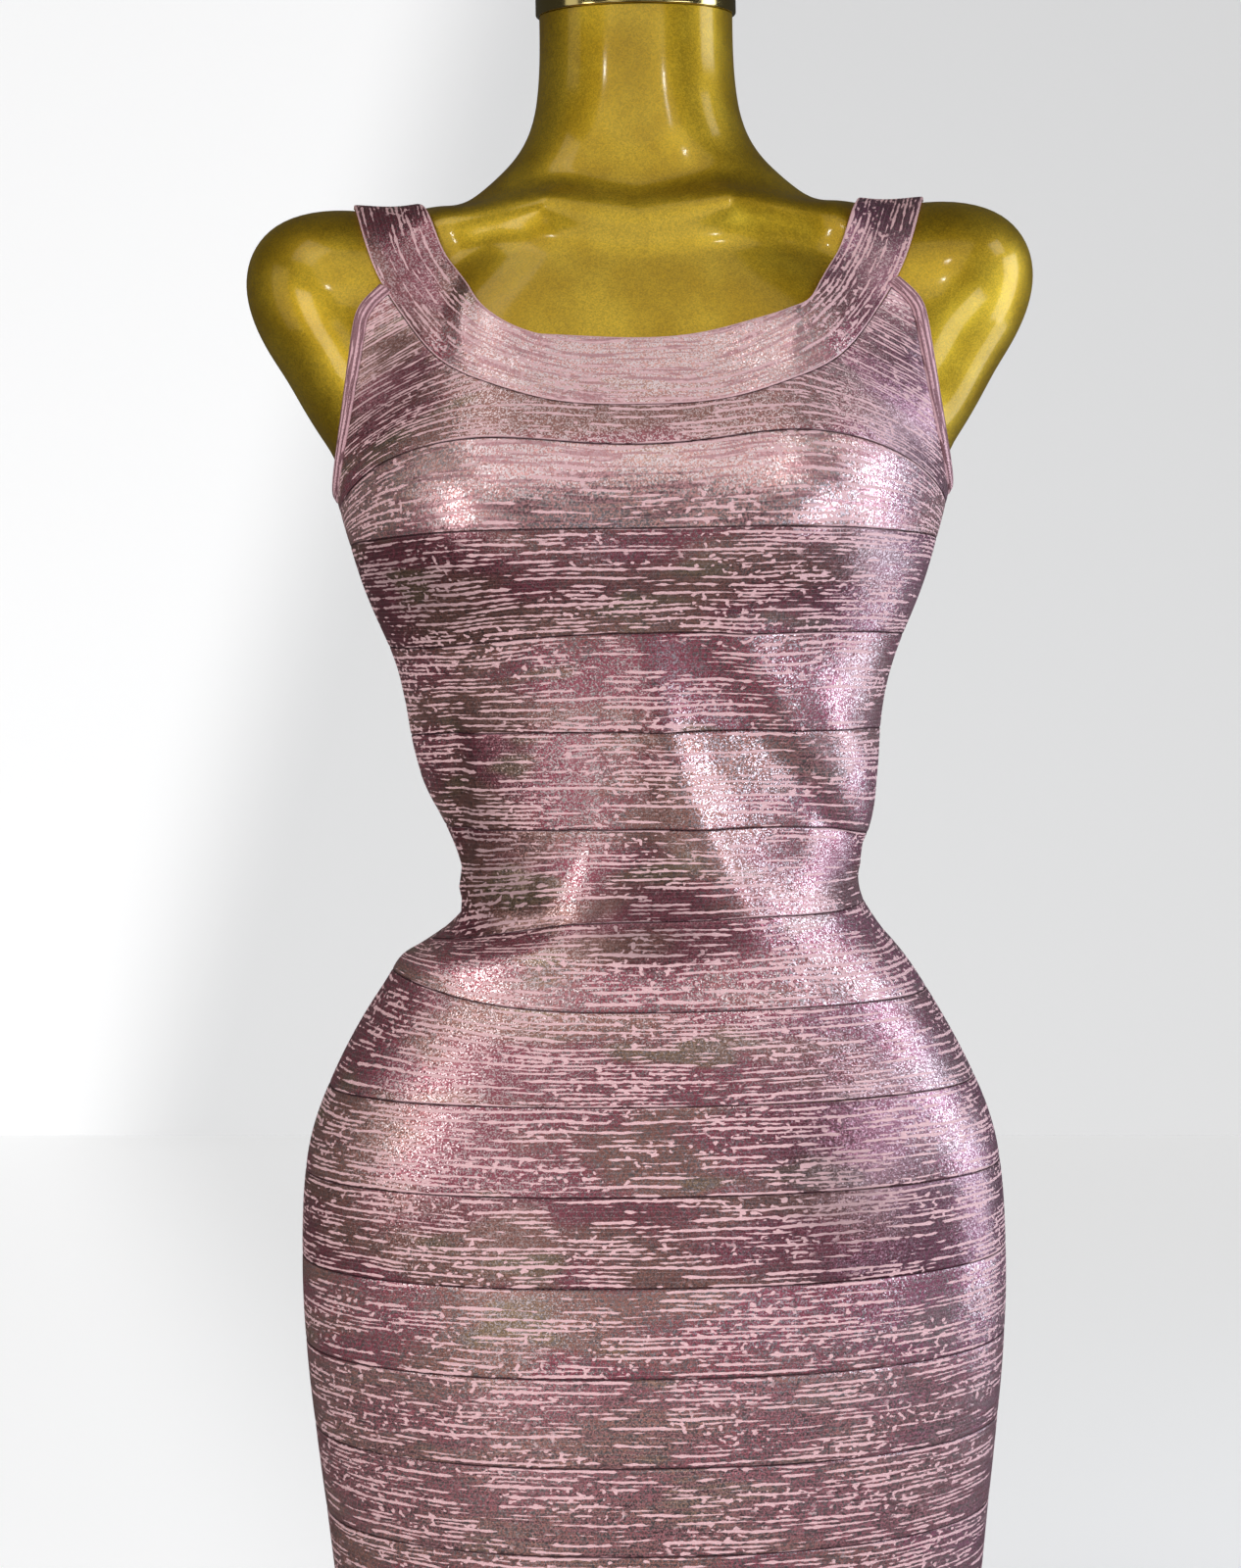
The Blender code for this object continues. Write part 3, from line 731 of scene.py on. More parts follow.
class YokeCut:
    """Lines that bound the yoke and the armhole binding beside it, on the +X half."""

    # Armhole edge from under the arm upwards: degrees round from the side, height in mm
    ARMHOLE = np.array([
        (0.0, 744.0),
        (4.4, 745.5),
        (8.4, 750.5),
        (11.8, 760.0),
        (14.7, 774.0),
        (17.0, 792.0),
        (18.6, 811.0),
        (19.6, 830.0),
    ])
    BINDING_WIDTH = 7.5 * MM
    ARMHOLE_STEPS = 44
    MIDDLE_STEPS = 96

    def __init__(self, side: Side) -> None:
        """Work out the lines of one half.

        Args:
            side: The half.
        """
        self.side = side
        self.neckline = Neckline(side)
        neck = self.neckline.lower_line()
        strap_degrees = 90 - float(side.bearing(neck[-1]))
        degrees = np.append(self.ARMHOLE[:, 0], strap_degrees)
        height = np.append(self.ARMHOLE[:, 1] * MM, neck[-1, 2])
        station = np.arange(len(degrees))
        where = np.linspace(0, station[-1], FINE_STEPS)
        bearing = 90 - spline(station, degrees)(where)
        self.hole = BODY.round_body(side.angle(bearing), spline(station, height)(where))
        self.stitch = shifted(self.hole, side.inwards * self.BINDING_WIDTH)
        self.below_binding = shifted(self.hole, side.inwards * (self.BINDING_WIDTH + SEAM_GAP))
        self.below_neck = shifted(neck, -side.inwards * SEAM_GAP)
        strap_bearing = 90 - strap_degrees
        fine = np.linspace(strap_bearing - CORNER_SPAN, strap_bearing, FINE_STEPS)
        lower = self.height(self.below_binding, fine) - self.height(self.below_neck, fine)
        self.corner = float(fine[np.argmax(lower < 0)])
        start = math.degrees(math.atan(YOKE_SQUASH * math.tan(math.radians(self.corner))))
        half = crowded(np.linspace(start, 0, self.MIDDLE_STEPS // 2 + 1)[1:], YOKE_SQUASH)
        right = np.concatenate([self.side_columns(), half])
        self.columns = np.concatenate([-right, right[-2::-1]])

    def side_columns(self) -> np.ndarray:
        """Bearings of stations spread evenly along the armhole.

        Returns:
            Bearings from under the arm up to the corner where armhole and neckband meet.
        """
        found = self.side.bearing(self.below_binding)
        line = self.below_binding[found >= self.corner]
        run = run_along(line, 0)
        even = np.linspace(0, run[-1], self.ARMHOLE_STEPS + 1)
        spread = np.interp(even, run, self.side.bearing(line))
        spread[0] = 90 - HALF_GAP_DEGREES
        spread[-1] = self.corner
        return spread

    def height(self, line: np.ndarray, bearings: np.ndarray) -> np.ndarray:
        """Heights at which a line of points passes the bearings.

        Args:
            line: The line, as rows of x, y and z.
            bearings: Degrees from the middle of this half.

        Returns:
            Heights, one for each bearing.
        """
        found = self.side.bearing(line)
        order = np.argsort(found)
        return np.interp(bearings, found[order], line[order, 2])

    def top(self, bearings: np.ndarray) -> np.ndarray:
        """Upper edge of the yoke.

        Args:
            bearings: Degrees from the middle of this half.

        Returns:
            Heights, one for each bearing.
        """
        bearings = np.abs(bearings)
        hole = self.height(self.below_binding, bearings)
        neck = self.height(self.below_neck, bearings)
        return np.where(bearings > self.corner, hole, neck)


@dataclass(frozen=True)
class Clouds:
    """Soft flat noise whose clouds are drawn out along a strip."""

    along_per_metre: float
    across_per_metre: float
    shift: float = 0.0
    detail: float = 2.0
    rough: float = 0.5


class Graph:
    """A material under construction, with short calls that add and link its nodes."""

    def __init__(self, name: str) -> None:
        """Start a material that has one Principled shader.

        Args:
            name: Name of the material.
        """
        self.material = bpy.data.materials.new(name)
        self.material.use_nodes = True
        self.tree = self.material.node_tree
        self.shader = self.tree.nodes["Principled BSDF"]

    def add(self, kind: str, inputs: dict | None = None, **settings: object) -> bpy.types.Node:
        """Add a node.

        Args:
            kind: Node type.
            inputs: Socket name or number, and the socket or value that goes in.
            settings: Properties of the node.

        Returns:
            The node.
        """
        node = self.tree.nodes.new(kind)
        for key, value in settings.items():
            setattr(node, key, value)
        for key, value in (inputs or {}).items():
            self.feed(node.inputs[key], value)
        return node

    def feed(self, socket: Socket, value: object) -> None:
        """Link a socket to another one, or give it a value.

        Args:
            socket: The input.
            value: The socket or the value that goes in.
        """
        if isinstance(value, Socket):
            self.tree.links.new(value, socket)
        else:
            socket.default_value = value

    def math(self, operation: str, *values: object) -> Socket:
        """Result of a Math node on one to three values."""
        return self.add("ShaderNodeMath", dict(enumerate(values)), operation=operation).outputs[0]

    def step(
        self, value: object, low: object, high: object, start: float = 0.0, end: float = 1.0
    ) -> Socket:
        """Smooth change from start to end as the value goes from low to high."""
        names = {"Value": value, "From Min": low, "From Max": high, "To Min": start, "To Max": end}
        return self.add("ShaderNodeMapRange", names, interpolation_type="SMOOTHSTEP").outputs[0]

    def mix(self, share: object, one: object, other: object, blend: str = "MIX") -> Socket:
        """One colour changed by another.

        Args:
            share: How much of the other colour comes in.
            one: The colour that is changed.
            other: The colour that changes it.
            blend: How the two are mixed.

        Returns:
            A colour socket.
        """
        node = self.add("ShaderNodeMix", data_type="RGBA", blend_type=blend)
        for key, value in (("Factor", share), (6, one), (7, other)):
            self.feed(node.inputs[key], value)
        return node.outputs[2]

    def grey(self, value: object) -> Socket:
        """Colour with the same value in all three channels."""
        return self.add("ShaderNodeCombineColor", {0: value, 1: value, 2: value}).outputs[0]

    def spot(self) -> Socket:
        """Place on the piece, in metres."""
        return self.add("ShaderNodeTexCoord").outputs["Object"]

    def weave(self) -> tuple[Socket, Socket]:
        """Lengths along and across the strip, in metres."""
        uv = self.add("ShaderNodeUVMap", uv_map=WEAVE).outputs[0]
        return tuple(self.add("ShaderNodeSeparateXYZ", {0: uv}).outputs[:2])

    def carried(self, name: str) -> Socket:
        """Value that the piece's points carry under a name."""
        return self.add("ShaderNodeAttribute", attribute_name=name).outputs["Fac"]

    def stretched(
        self, along: object, across: object, per_metre: tuple[float, float], shift: float = 0.0
    ) -> Socket:
        """Flat pattern coordinates from two lengths in metres.

        Args:
            along: Length along the strip.
            across: Length across the strip.
            per_metre: How many pattern cells a metre holds each way.
            shift: Moves the pattern, so that two patterns differ.

        Returns:
            A vector socket.
        """
        x = self.math("MULTIPLY_ADD", along, per_metre[0], shift)
        y = self.math("MULTIPLY_ADD", across, per_metre[1], shift)
        return self.add("ShaderNodeCombineXYZ", {"X": x, "Y": y}).outputs[0]

    def noise(
        self, vector: object, scale: float = 1.0, detail: float = 1.0, rough: float = 0.5,
        flat: bool = True,
    ) -> Socket:
        """Smooth noise between 0 and 1.

        Args:
            vector: Where the noise is read.
            scale: Pattern cells to a unit of the vector.
            detail: How many finer layers are added.
            rough: How strong each finer layer is.
            flat: Whether only the vector's first two values count.

        Returns:
            A value socket.
        """
        inputs = {"Vector": vector, "Scale": scale, "Detail": detail, "Roughness": rough}
        node = self.add("ShaderNodeTexNoise", inputs, noise_dimensions="2D" if flat else "3D")
        return node.outputs[0]

    def clouds(self, along: object, across: object, kind: Clouds, shift: float = 0.0) -> Socket:
        """Noise drawn out along the strip.

        Args:
            along: Length along the strip.
            across: Length across the strip.
            kind: How its clouds are drawn.
            shift: Moves them further.

        Returns:
            A value socket.
        """
        per_metre = (kind.along_per_metre, kind.across_per_metre)
        vector = self.stretched(along, across, per_metre, kind.shift + shift)
        return self.noise(vector, detail=kind.detail, rough=kind.rough)

    def bump(
        self, height: object, distance: float, strength: float = 1.0, below: Socket | None = None
    ) -> Socket:
        """Normal of a surface that stands up by a height.

        Args:
            height: The height, as a share of the distance.
            distance: How far a height of 1 stands up.
            strength: How much of it shows.
            below: Normal that it is laid over.

        Returns:
            A normal socket.
        """
        inputs = {"Height": height, "Distance": distance, "Strength": strength}
        if below is not None:
            inputs["Normal"] = below
        return self.add("ShaderNodeBump", inputs).outputs[0]

    def finish(self, **sockets: object) -> bpy.types.Material:
        """Feed the shader.

        Args:
            sockets: Its sockets, with underscores for spaces, and what goes in.

        Returns:
            The material.
        """
        for key, value in sockets.items():
            self.feed(self.shader.inputs[key.replace("_", " ")], value)
        return self.material


@dataclass(frozen=True)
class FoilKnit:
    """Pink knit under a broken metallic foil that has cracked along the strips."""

    name: str = "foil_knit_look"
    pink: Colour = (0.76, 0.465, 0.48, 1)
    plum: Colour = (0.43, 0.11, 0.15, 1)
    taupe: Colour = (0.44, 0.20, 0.165, 1)
    olive: Colour = (0.33, 0.25, 0.14, 1)
    violet_light_tint: Colour = (0.43, 0.20, 0.34, 1)
    pale: Colour = (0.89, 0.51, 0.46, 1)
    silver: Colour = (0.92, 0.75, 0.76, 1)
    mauve: Colour = (0.50, 0.22, 0.25, 1)
    seam: Colour = (0.07, 0.02, 0.03, 1)
    row: float = 4.6 * MM
    wide: float = 0.66 * MM
    fine: float = 0.36 * MM
    sway: float = 4.0 * MM
    ragged: float = 1.5 * MM
    soft: float = 0.12 * MM
    dark_seam: float = 0.8 * MM
    rubbed_edge: Span = (0.5 * MM, 0.9 * MM)
    flake: float = 0.6 * MM
    tilt: float = 0.10
    relief: float = 0.12 * MM
    refraction: float = 1.7

    # Noise that sways and breaks the rows of bare knit, then noise that clouds and crinkles foil
    swaying: Clouds = Clouds(16, 60)
    patches: Clouds = Clouds(14, 42, 3.7)
    ragged_sides: Clouds = Clouds(190, 420, 2, 1.5, 0.6)
    knots: Clouds = Clouds(230, 330, 9.4, 1)
    grain: Clouds = Clouds(1300, 1500, 1.9, 1)
    olive_clouds: Clouds = Clouds(13, 34, 8.3)
    taupe_clouds: Clouds = Clouds(10, 24, 15.3)
    mauve_rows: Clouds = Clouds(26, 560, 5.2, rough=0.6)
    crinkle: Clouds = Clouds(90, 560, 6.6, rough=0.6)

    # A row's own noise: cells to a metre, and how far it jumps from one row to the next
    cells_per_metre: float = 29.0
    jump_along: float = 7.3
    jump_across: float = 3.17

    # Noise past which a row is bare, what patches and tone add to that, and how much more the
    # fine rows need, then how far past it a crack has begun and has its full width
    bare_from: float = 0.45
    by_patch: float = -0.26
    by_tone: float = 0.03
    fine_later: float = 0.06
    begun: float = 0.02
    full_width: float = 0.11

    # Noise over which the knots and each colour come in, or metres to the +X side for violet, a
    # painted tint of the lavender light on that side, and how strong the colour is where it is all
    # there
    knots_over: Span = (0.64, 0.67)
    knots_in_patch: Span = (0.46, 0.54)
    taupe_over: Span = (0.42, 0.62)
    olive_over: Span = (0.60, 0.72)
    olive_share: float = 0.7
    violet_light_over: Span = (0.08, 0.28)
    violet_light_share: float = 0.6
    mauve_over: Span = (0.50, 0.60)
    mauve_share: float = 0.7
    pale_share: float = 0.8
    silver_over: Span = (0.5, 0.7)

    def cracks(
        self, g: Graph, u: Socket, v: Socket, shift: float, share: Socket, half: float
    ) -> Socket:
        """Mask of cracks that run in rows along the strip.

        Args:
            g: The material's graph.
            u: Length along the strip.
            v: Length across the strip, already swayed.
            shift: Moves the rows by this share of their distance.
            share: Threshold that a row's own noise has to pass to crack.
            half: Greatest half width of a crack.

        Returns:
            A socket that is 1 in the cracks.
        """
        count = g.math("MULTIPLY_ADD", v, 1 / self.row, shift)
        number = g.math("FLOOR", count)
        cells = g.math("MULTIPLY", u, self.cells_per_metre)
        own = g.add("ShaderNodeCombineXYZ", {
            "X": g.math("MULTIPLY_ADD", number, self.jump_along, cells),
            "Y": g.math("MULTIPLY", number, self.jump_across + shift),
        }).outputs[0]
        strength = g.noise(own, detail=2.5, rough=0.6)
        ragged = g.clouds(u, v, self.ragged_sides, shift)
        reach = g.step(strength, share, g.math("ADD", share, self.full_width), 0.0, half)
        reach = g.math("MULTIPLY_ADD", g.math("SUBTRACT", ragged, 0.5), self.ragged, reach)
        begun = g.step(strength, share, g.math("ADD", share, self.begun))
        reach = g.math("MULTIPLY", reach, begun)
        away = g.math("ABSOLUTE", g.math("SUBTRACT", g.math("FRACT", count), 0.5))
        away = g.math("MULTIPLY", away, self.row)
        return g.step(g.math("SUBTRACT", reach, away), -self.soft, self.soft)

    def bare(self, g: Graph, u: Socket, v: Socket, waved: Socket) -> Socket:
        """Mask of the bare knit: long rows that sway, small knots and edges that aren't sewn.

        Args:
            g: The material's graph.
            u: Length along the strip.
            v: Length across the strip.
            waved: The same, swayed.

        Returns:
            A socket that is 1 where the knit is bare.
        """
        patch = g.clouds(u, v, self.patches)
        uneven = g.math("SUBTRACT", patch, 0.5)
        share = g.math("MULTIPLY_ADD", uneven, self.by_patch, self.bare_from)
        share = g.math("MULTIPLY_ADD", g.carried(TONE), self.by_tone, share)
        wide = self.cracks(g, u, waved, 0.0, share, self.wide)
        share = g.math("ADD", share, self.fine_later)
        fine = self.cracks(g, u, waved, 0.5, share, self.fine)
        knots = g.step(g.clouds(u, v, self.knots), *self.knots_over)
        knots = g.math("MULTIPLY", knots, g.step(patch, *self.knots_in_patch))
        bare = g.math("MAXIMUM", g.math("MAXIMUM", wide, fine), knots)
        edge = g.carried(EDGE)
        unsewn = g.step(edge, 0.5 * SEWN_MARK, 0.4 * SEWN_MARK)
        rubbed = g.math("MULTIPLY", g.step(edge, *self.rubbed_edge, 0.85, 0.0), unsewn)
        return g.math("MAXIMUM", bare, rubbed)

    def foil(
        self, g: Graph, u: Socket, v: Socket, waved: Socket, lean: Socket, shiny: Socket
    ) -> Socket:
        """Colour of the foil in clouds, with a violet tint towards +X that paints the lavender
        light on that side, paler with fine rows where the tone is high and darker where it is low,
        the tone being partly the foil's own and partly painted light and shade.

        Args:
            g: The material's graph.
            u: Length along the strip.
            v: Length across the strip.
            waved: The same, swayed.
            lean: How each flake leans.
            shiny: Which flakes glitter.

        Returns:
            A colour socket.
        """
        tone = g.carried(TONE)
        tint = g.clouds(u, v, self.olive_clouds)
        warm = g.clouds(u, v, self.taupe_clouds)
        foil = g.mix(g.step(warm, *self.taupe_over), self.plum, self.taupe)
        olive = g.math("MULTIPLY", g.step(tint, *self.olive_over), self.olive_share)
        foil = g.mix(olive, foil, self.olive)
        # Violet tint towards +X: painted light, the hue of the lavender lamps on that side
        side = g.math("ADD", u, g.math("MULTIPLY", tint, 0.12))
        violet_light_tint = g.math("MULTIPLY", g.step(side, *self.violet_light_over), self.violet_light_share)
        foil = g.mix(violet_light_tint, foil, self.violet_light_tint)
        # Paler where the tone is high: partly the foil's own paleness, partly a painted sheen
        foil = g.mix(g.step(tone, 0.1, 1.1, 0.0, self.pale_share), foil, self.pale)
        value = g.math("MULTIPLY_ADD", lean, 0.6, 0.65)
        # Darker, with fewer glittering flakes, where the tone is low: partly painted shade, partly
        # the foil's own darker tone
        value = g.math("MULTIPLY", value, g.step(tone, -1.0, 0.0, 0.45, 1.0))
        foil = g.mix(1.0, foil, g.grey(value), "MULTIPLY")
        glitter = g.math("MULTIPLY", shiny, g.step(tone, -1.0, 0.0, 0.2, 1.0))
        foil = g.mix(glitter, foil, self.silver)
        rows = g.step(g.clouds(u, waved, self.mauve_rows), *self.mauve_over)
        rows = g.math("MULTIPLY", rows, g.step(tone, 0.0, 0.5, 0.0, self.mauve_share))
        return g.mix(rows, foil, self.mauve)

    def build(self) -> bpy.types.Material:
        """Make the material.

        Returns:
            The material.
        """
        g = Graph(self.name)
        u, v = g.weave()
        edge, tone = g.carried(EDGE), g.carried(TONE)
        sway = g.math("SUBTRACT", g.clouds(u, v, self.swaying), 0.5)
        waved = g.math("MULTIPLY_ADD", sway, self.sway, v)
        bare = self.bare(g, u, v, waved)

        # Flakes of foil, each with its own lean and glitter, and the grain of the knit
        cells = {"Vector": g.stretched(u, v, (1, 1)), "Scale": 1 / self.flake}
        flakes = g.add("ShaderNodeTexVoronoi", cells, voronoi_dimensions="2D").outputs["Color"]
        lean_u, lean_v, spark = g.add("ShaderNodeSeparateColor", {0: flakes}).outputs
        # More flakes turn silver where the tone is high, part of the painted sheen
        shiny = g.step(g.math("MULTIPLY_ADD", tone, 0.12, spark), *self.silver_over)
        grain = g.clouds(u, v, self.grain)

        # Colour of the foil, of the knit between it, and of a seam's dark line
        foil = self.foil(g, u, v, waved, lean_u, shiny)
        rib = g.math("MULTIPLY_ADD", grain, 0.4, 0.80)
        # The knit is darker where the tone is low: painted shade
        rib = g.math("MULTIPLY", rib, g.step(tone, -1.6, -0.6, 0.55, 1.0))
        knit = g.mix(1.0, self.pink, g.grey(rib), "MULTIPLY")
        colour = g.mix(bare, foil, knit)
        seam = g.step(edge, SEWN_MARK, self.dark_seam + SEWN_MARK, 0.8, 0.0)
        colour = g.mix(seam, colour, self.seam)

        # Gloss and relief: leaning flakes over a crinkled ground, with the cracks sunk in
        even = (1 - self.tilt) / 2
        lean = [g.math("MULTIPLY_ADD", flake, self.tilt, even) for flake in (lean_u, lean_v)]
        leaning = g.add("ShaderNodeCombineColor", {0: lean[0], 1: lean[1], 2: 1.0}).outputs[0]
        flat = g.math("MULTIPLY_ADD", bare, -0.7, 1.0)
        inputs = {"Strength": flat, "Color": leaning}
        facets = g.add("ShaderNodeNormalMap", inputs, uv_map=WEAVE).outputs[0]
        height = g.math("MULTIPLY_ADD", bare, -0.2, g.clouds(u, v, self.crinkle))
        normal = g.bump(height, self.relief, 0.35, facets)
        metallic = g.math("MULTIPLY_ADD", shiny, 0.48, 0.5)
        metallic = g.math("MULTIPLY", g.math("SUBTRACT", 1.0, bare), metallic)
        rough = g.math("MULTIPLY_ADD", bare, 0.30, 0.29)
        g.shader.inputs["IOR"].default_value = self.refraction
        return g.finish(Base_Color=colour, Metallic=metallic, Roughness=rough, Normal=normal)


@dataclass(frozen=True)
class PinkEdging:
    """Folded knit of the armhole bindings, with a few pink lines along its foil."""

    name: str = "edging_look"
    pink: Colour = (0.74, 0.44, 0.48, 1)
    mauve: Colour = (0.30, 0.145, 0.165, 1)
    rib: float = 1.1 * MM
    line: float = 2.5 * MM
    relief: float = 0.08 * MM
    swaying: Clouds = Clouds(40, 260)
    breaks: Clouds = Clouds(60, 500, 4.1, 1)
    breaks_over: Span = (0.36, 0.42)
    grain: Clouds = Clouds(900, 900, detail=1)

    def build(self) -> bpy.types.Material:
        """Make the material.

        Returns:
            The material.
        """
        g = Graph(self.name)
        u, v = g.weave()
        sway = g.clouds(u, v, self.swaying)
        turn = g.math("MULTIPLY_ADD", sway, 3.2, g.math("MULTIPLY", v, 2 * math.pi / self.line))
        lines = g.step(g.math("SINE", turn), -0.25, 0.25)
        unbroken = g.step(g.clouds(u, v, self.breaks), *self.breaks_over)
        bare = g.math("MULTIPLY", lines, unbroken)
        grain = g.clouds(u, v, self.grain)
        grey = g.grey(g.math("MULTIPLY_ADD", grain, 0.5, 0.75))
        colour = g.mix(1.0, g.mix(bare, self.mauve, self.pink), grey, "MULTIPLY")
        ribs = g.math("SINE", g.math("MULTIPLY", u, 2 * math.pi / self.rib))
        normal = g.bump(g.math("ADD", ribs, grain), self.relief, 0.6)
        metallic = g.math("MULTIPLY_ADD", bare, -0.3, 0.3)
        return g.finish(Base_Color=colour, Metallic=metallic, Roughness=0.5, Normal=normal)


@dataclass(frozen=True)
class Thread:
    """Dull sewing thread with a fine twist."""

    name: str
    colour: Colour
    darkest: float = 0.5
    twists_per_metre: float = 1400
    relief: float = 0.05 * MM

    def build(self) -> bpy.types.Material:
        """Make the material.

        Returns:
            The material.
        """
        g = Graph(self.name)
        twist = g.noise(g.spot(), self.twists_per_metre, 1, flat=False)
        dark = tuple(self.darkest * channel for channel in self.colour[:3]) + (1,)
        colour = g.mix(g.step(twist, 0.35, 0.65), dark, self.colour)
        return g.finish(Base_Color=colour, Roughness=0.7, Normal=g.bump(twist, self.relief, 0.5))


@dataclass(frozen=True)
class GoldPaint:
    """Olive-gold flake paint under a glossy clear coat."""

    name: str = "gold_paint_look"
    light: Colour = (0.66, 0.44, 0.03, 1)
    deep: Colour = (0.49, 0.30, 0.01, 1)
    flakes_per_metre: float = 1500
    flake_relief: float = 0.03 * MM
    clouds_per_metre: float = 22
    clouds_over: Span = (0.35, 0.7)
    peel_per_metre: float = 260
    peel_relief: float = 0.05 * MM
    coat: float = 0.5
    coat_rough: float = 0.1
    metallic: float = 0.85

    def build(self) -> bpy.types.Material:
        """Make the material.

        Returns:
            The material.
        """
        g = Graph(self.name)
        spot = g.spot()
        cells = {"Vector": spot, "Scale": self.flakes_per_metre}
        flakes = g.add("ShaderNodeTexVoronoi", cells).outputs["Color"]
        glint = g.add("ShaderNodeSeparateColor", {0: flakes}).outputs[0]
        cloud = g.noise(spot, self.clouds_per_metre, 3, flat=False)
        base = g.mix(g.step(cloud, *self.clouds_over), self.deep, self.light)
        colour = g.mix(1.0, base, g.grey(g.math("MULTIPLY_ADD", glint, 0.45, 0.78)), "MULTIPLY")
        rough = g.math("MULTIPLY_ADD", glint, 0.12, 0.36)
        peel = g.bump(g.noise(spot, self.peel_per_metre, 2, flat=False), self.peel_relief, 0.35)
        flake = g.bump(glint, self.flake_relief, 0.5, peel)
        g.shader.inputs["Coat Weight"].default_value = self.coat
        g.shader.inputs["Coat Roughness"].default_value = self.coat_rough
        return g.finish(
            Base_Color=colour, Metallic=self.metallic, Roughness=rough, Normal=flake
        )


@dataclass(frozen=True)
class PolishedGold:
    """Plated and polished metal with hairline scratches round it."""

    name: str = "polished_gold_look"
    gold: Colour = (0.83, 0.66, 0.27, 1)
    dulled: Colour = (0.74, 0.57, 0.2, 1)
    hairlines_per_metre: tuple[float, float, float] = (20, 20, 2600)
    hairline_relief: float = 0.01 * MM
    smudges_per_metre: float = 60
    mirror_rough: float = 0.04

    def build(self) -> bpy.types.Material:
        """Make the material.

        Returns:
            The material.
        """
        g = Graph(self.name)
        spot = g.spot()
        inputs = {0: spot, 1: self.hairlines_per_metre}
        round_it = g.add("ShaderNodeVectorMath", inputs, operation="MULTIPLY").outputs[0]
        hairlines = g.noise(round_it, 1, 2, flat=False)
        smudge = g.noise(spot, self.smudges_per_metre, 2, flat=False)
        rough = g.math("MULTIPLY_ADD", hairlines, 0.06, self.mirror_rough)
        rough = g.math("MULTIPLY_ADD", smudge, 0.12, rough)
        colour = g.mix(smudge, self.gold, self.dulled)
        normal = g.bump(hairlines, self.hairline_relief, 0.3)
        return g.finish(Base_Color=colour, Metallic=1.0, Roughness=rough, Normal=normal)


@dataclass(frozen=True)
class PaleBackdrop:
    """Matt pale paper with its own faint glow of painted light, whiter on the -X side of a soft
    slanting line and greyer past it as painted shade.

    The glow comes in with the distance behind the dress. Seen from behind the paper is clear,
    so that it hides nothing from the back.
    """

    name: str
    light: float
    shade: float
    middle: float
    lean: tuple[float, float]
    softness: float
    paper: Colour = (0.4, 0.4, 0.4, 1)
    glows_over: Span = (-0.3, 0.5)
    fibres_per_metre: float = 900
    relief: float = 0.1 * MM

    def build(self) -> bpy.types.Material:
        """Make the material.

        Returns:
            The material.
        """
        g = Graph(self.name)
        spot = g.spot()
        x, y, z = g.add("ShaderNodeSeparateXYZ", {0: spot}).outputs
        # Painted light as a glow: brighter on the -X side of the slanting line, painted shade past
        # it
        line = g.math("MULTIPLY_ADD", z, self.lean[1], self.middle)
        line = g.math("MULTIPLY_ADD", y, self.lean[0], line)
        past = g.math("SUBTRACT", x, line)
        level = g.step(past, -self.softness, self.softness, self.light, self.shade)
        glow = g.grey(g.math("MULTIPLY", level, g.step(y, *self.glows_over)))
        fibres = g.noise(spot, self.fibres_per_metre, 2, flat=False)
        front = g.math("SUBTRACT", 1.0, g.add("ShaderNodeNewGeometry").outputs["Backfacing"])
        g.shader.inputs["Emission Strength"].default_value = 1.0
        return g.finish(
            Alpha=front, Base_Color=self.paper, Roughness=0.9,
            Normal=g.bump(fibres, self.relief, 0.3), Emission_Color=glow,
        )


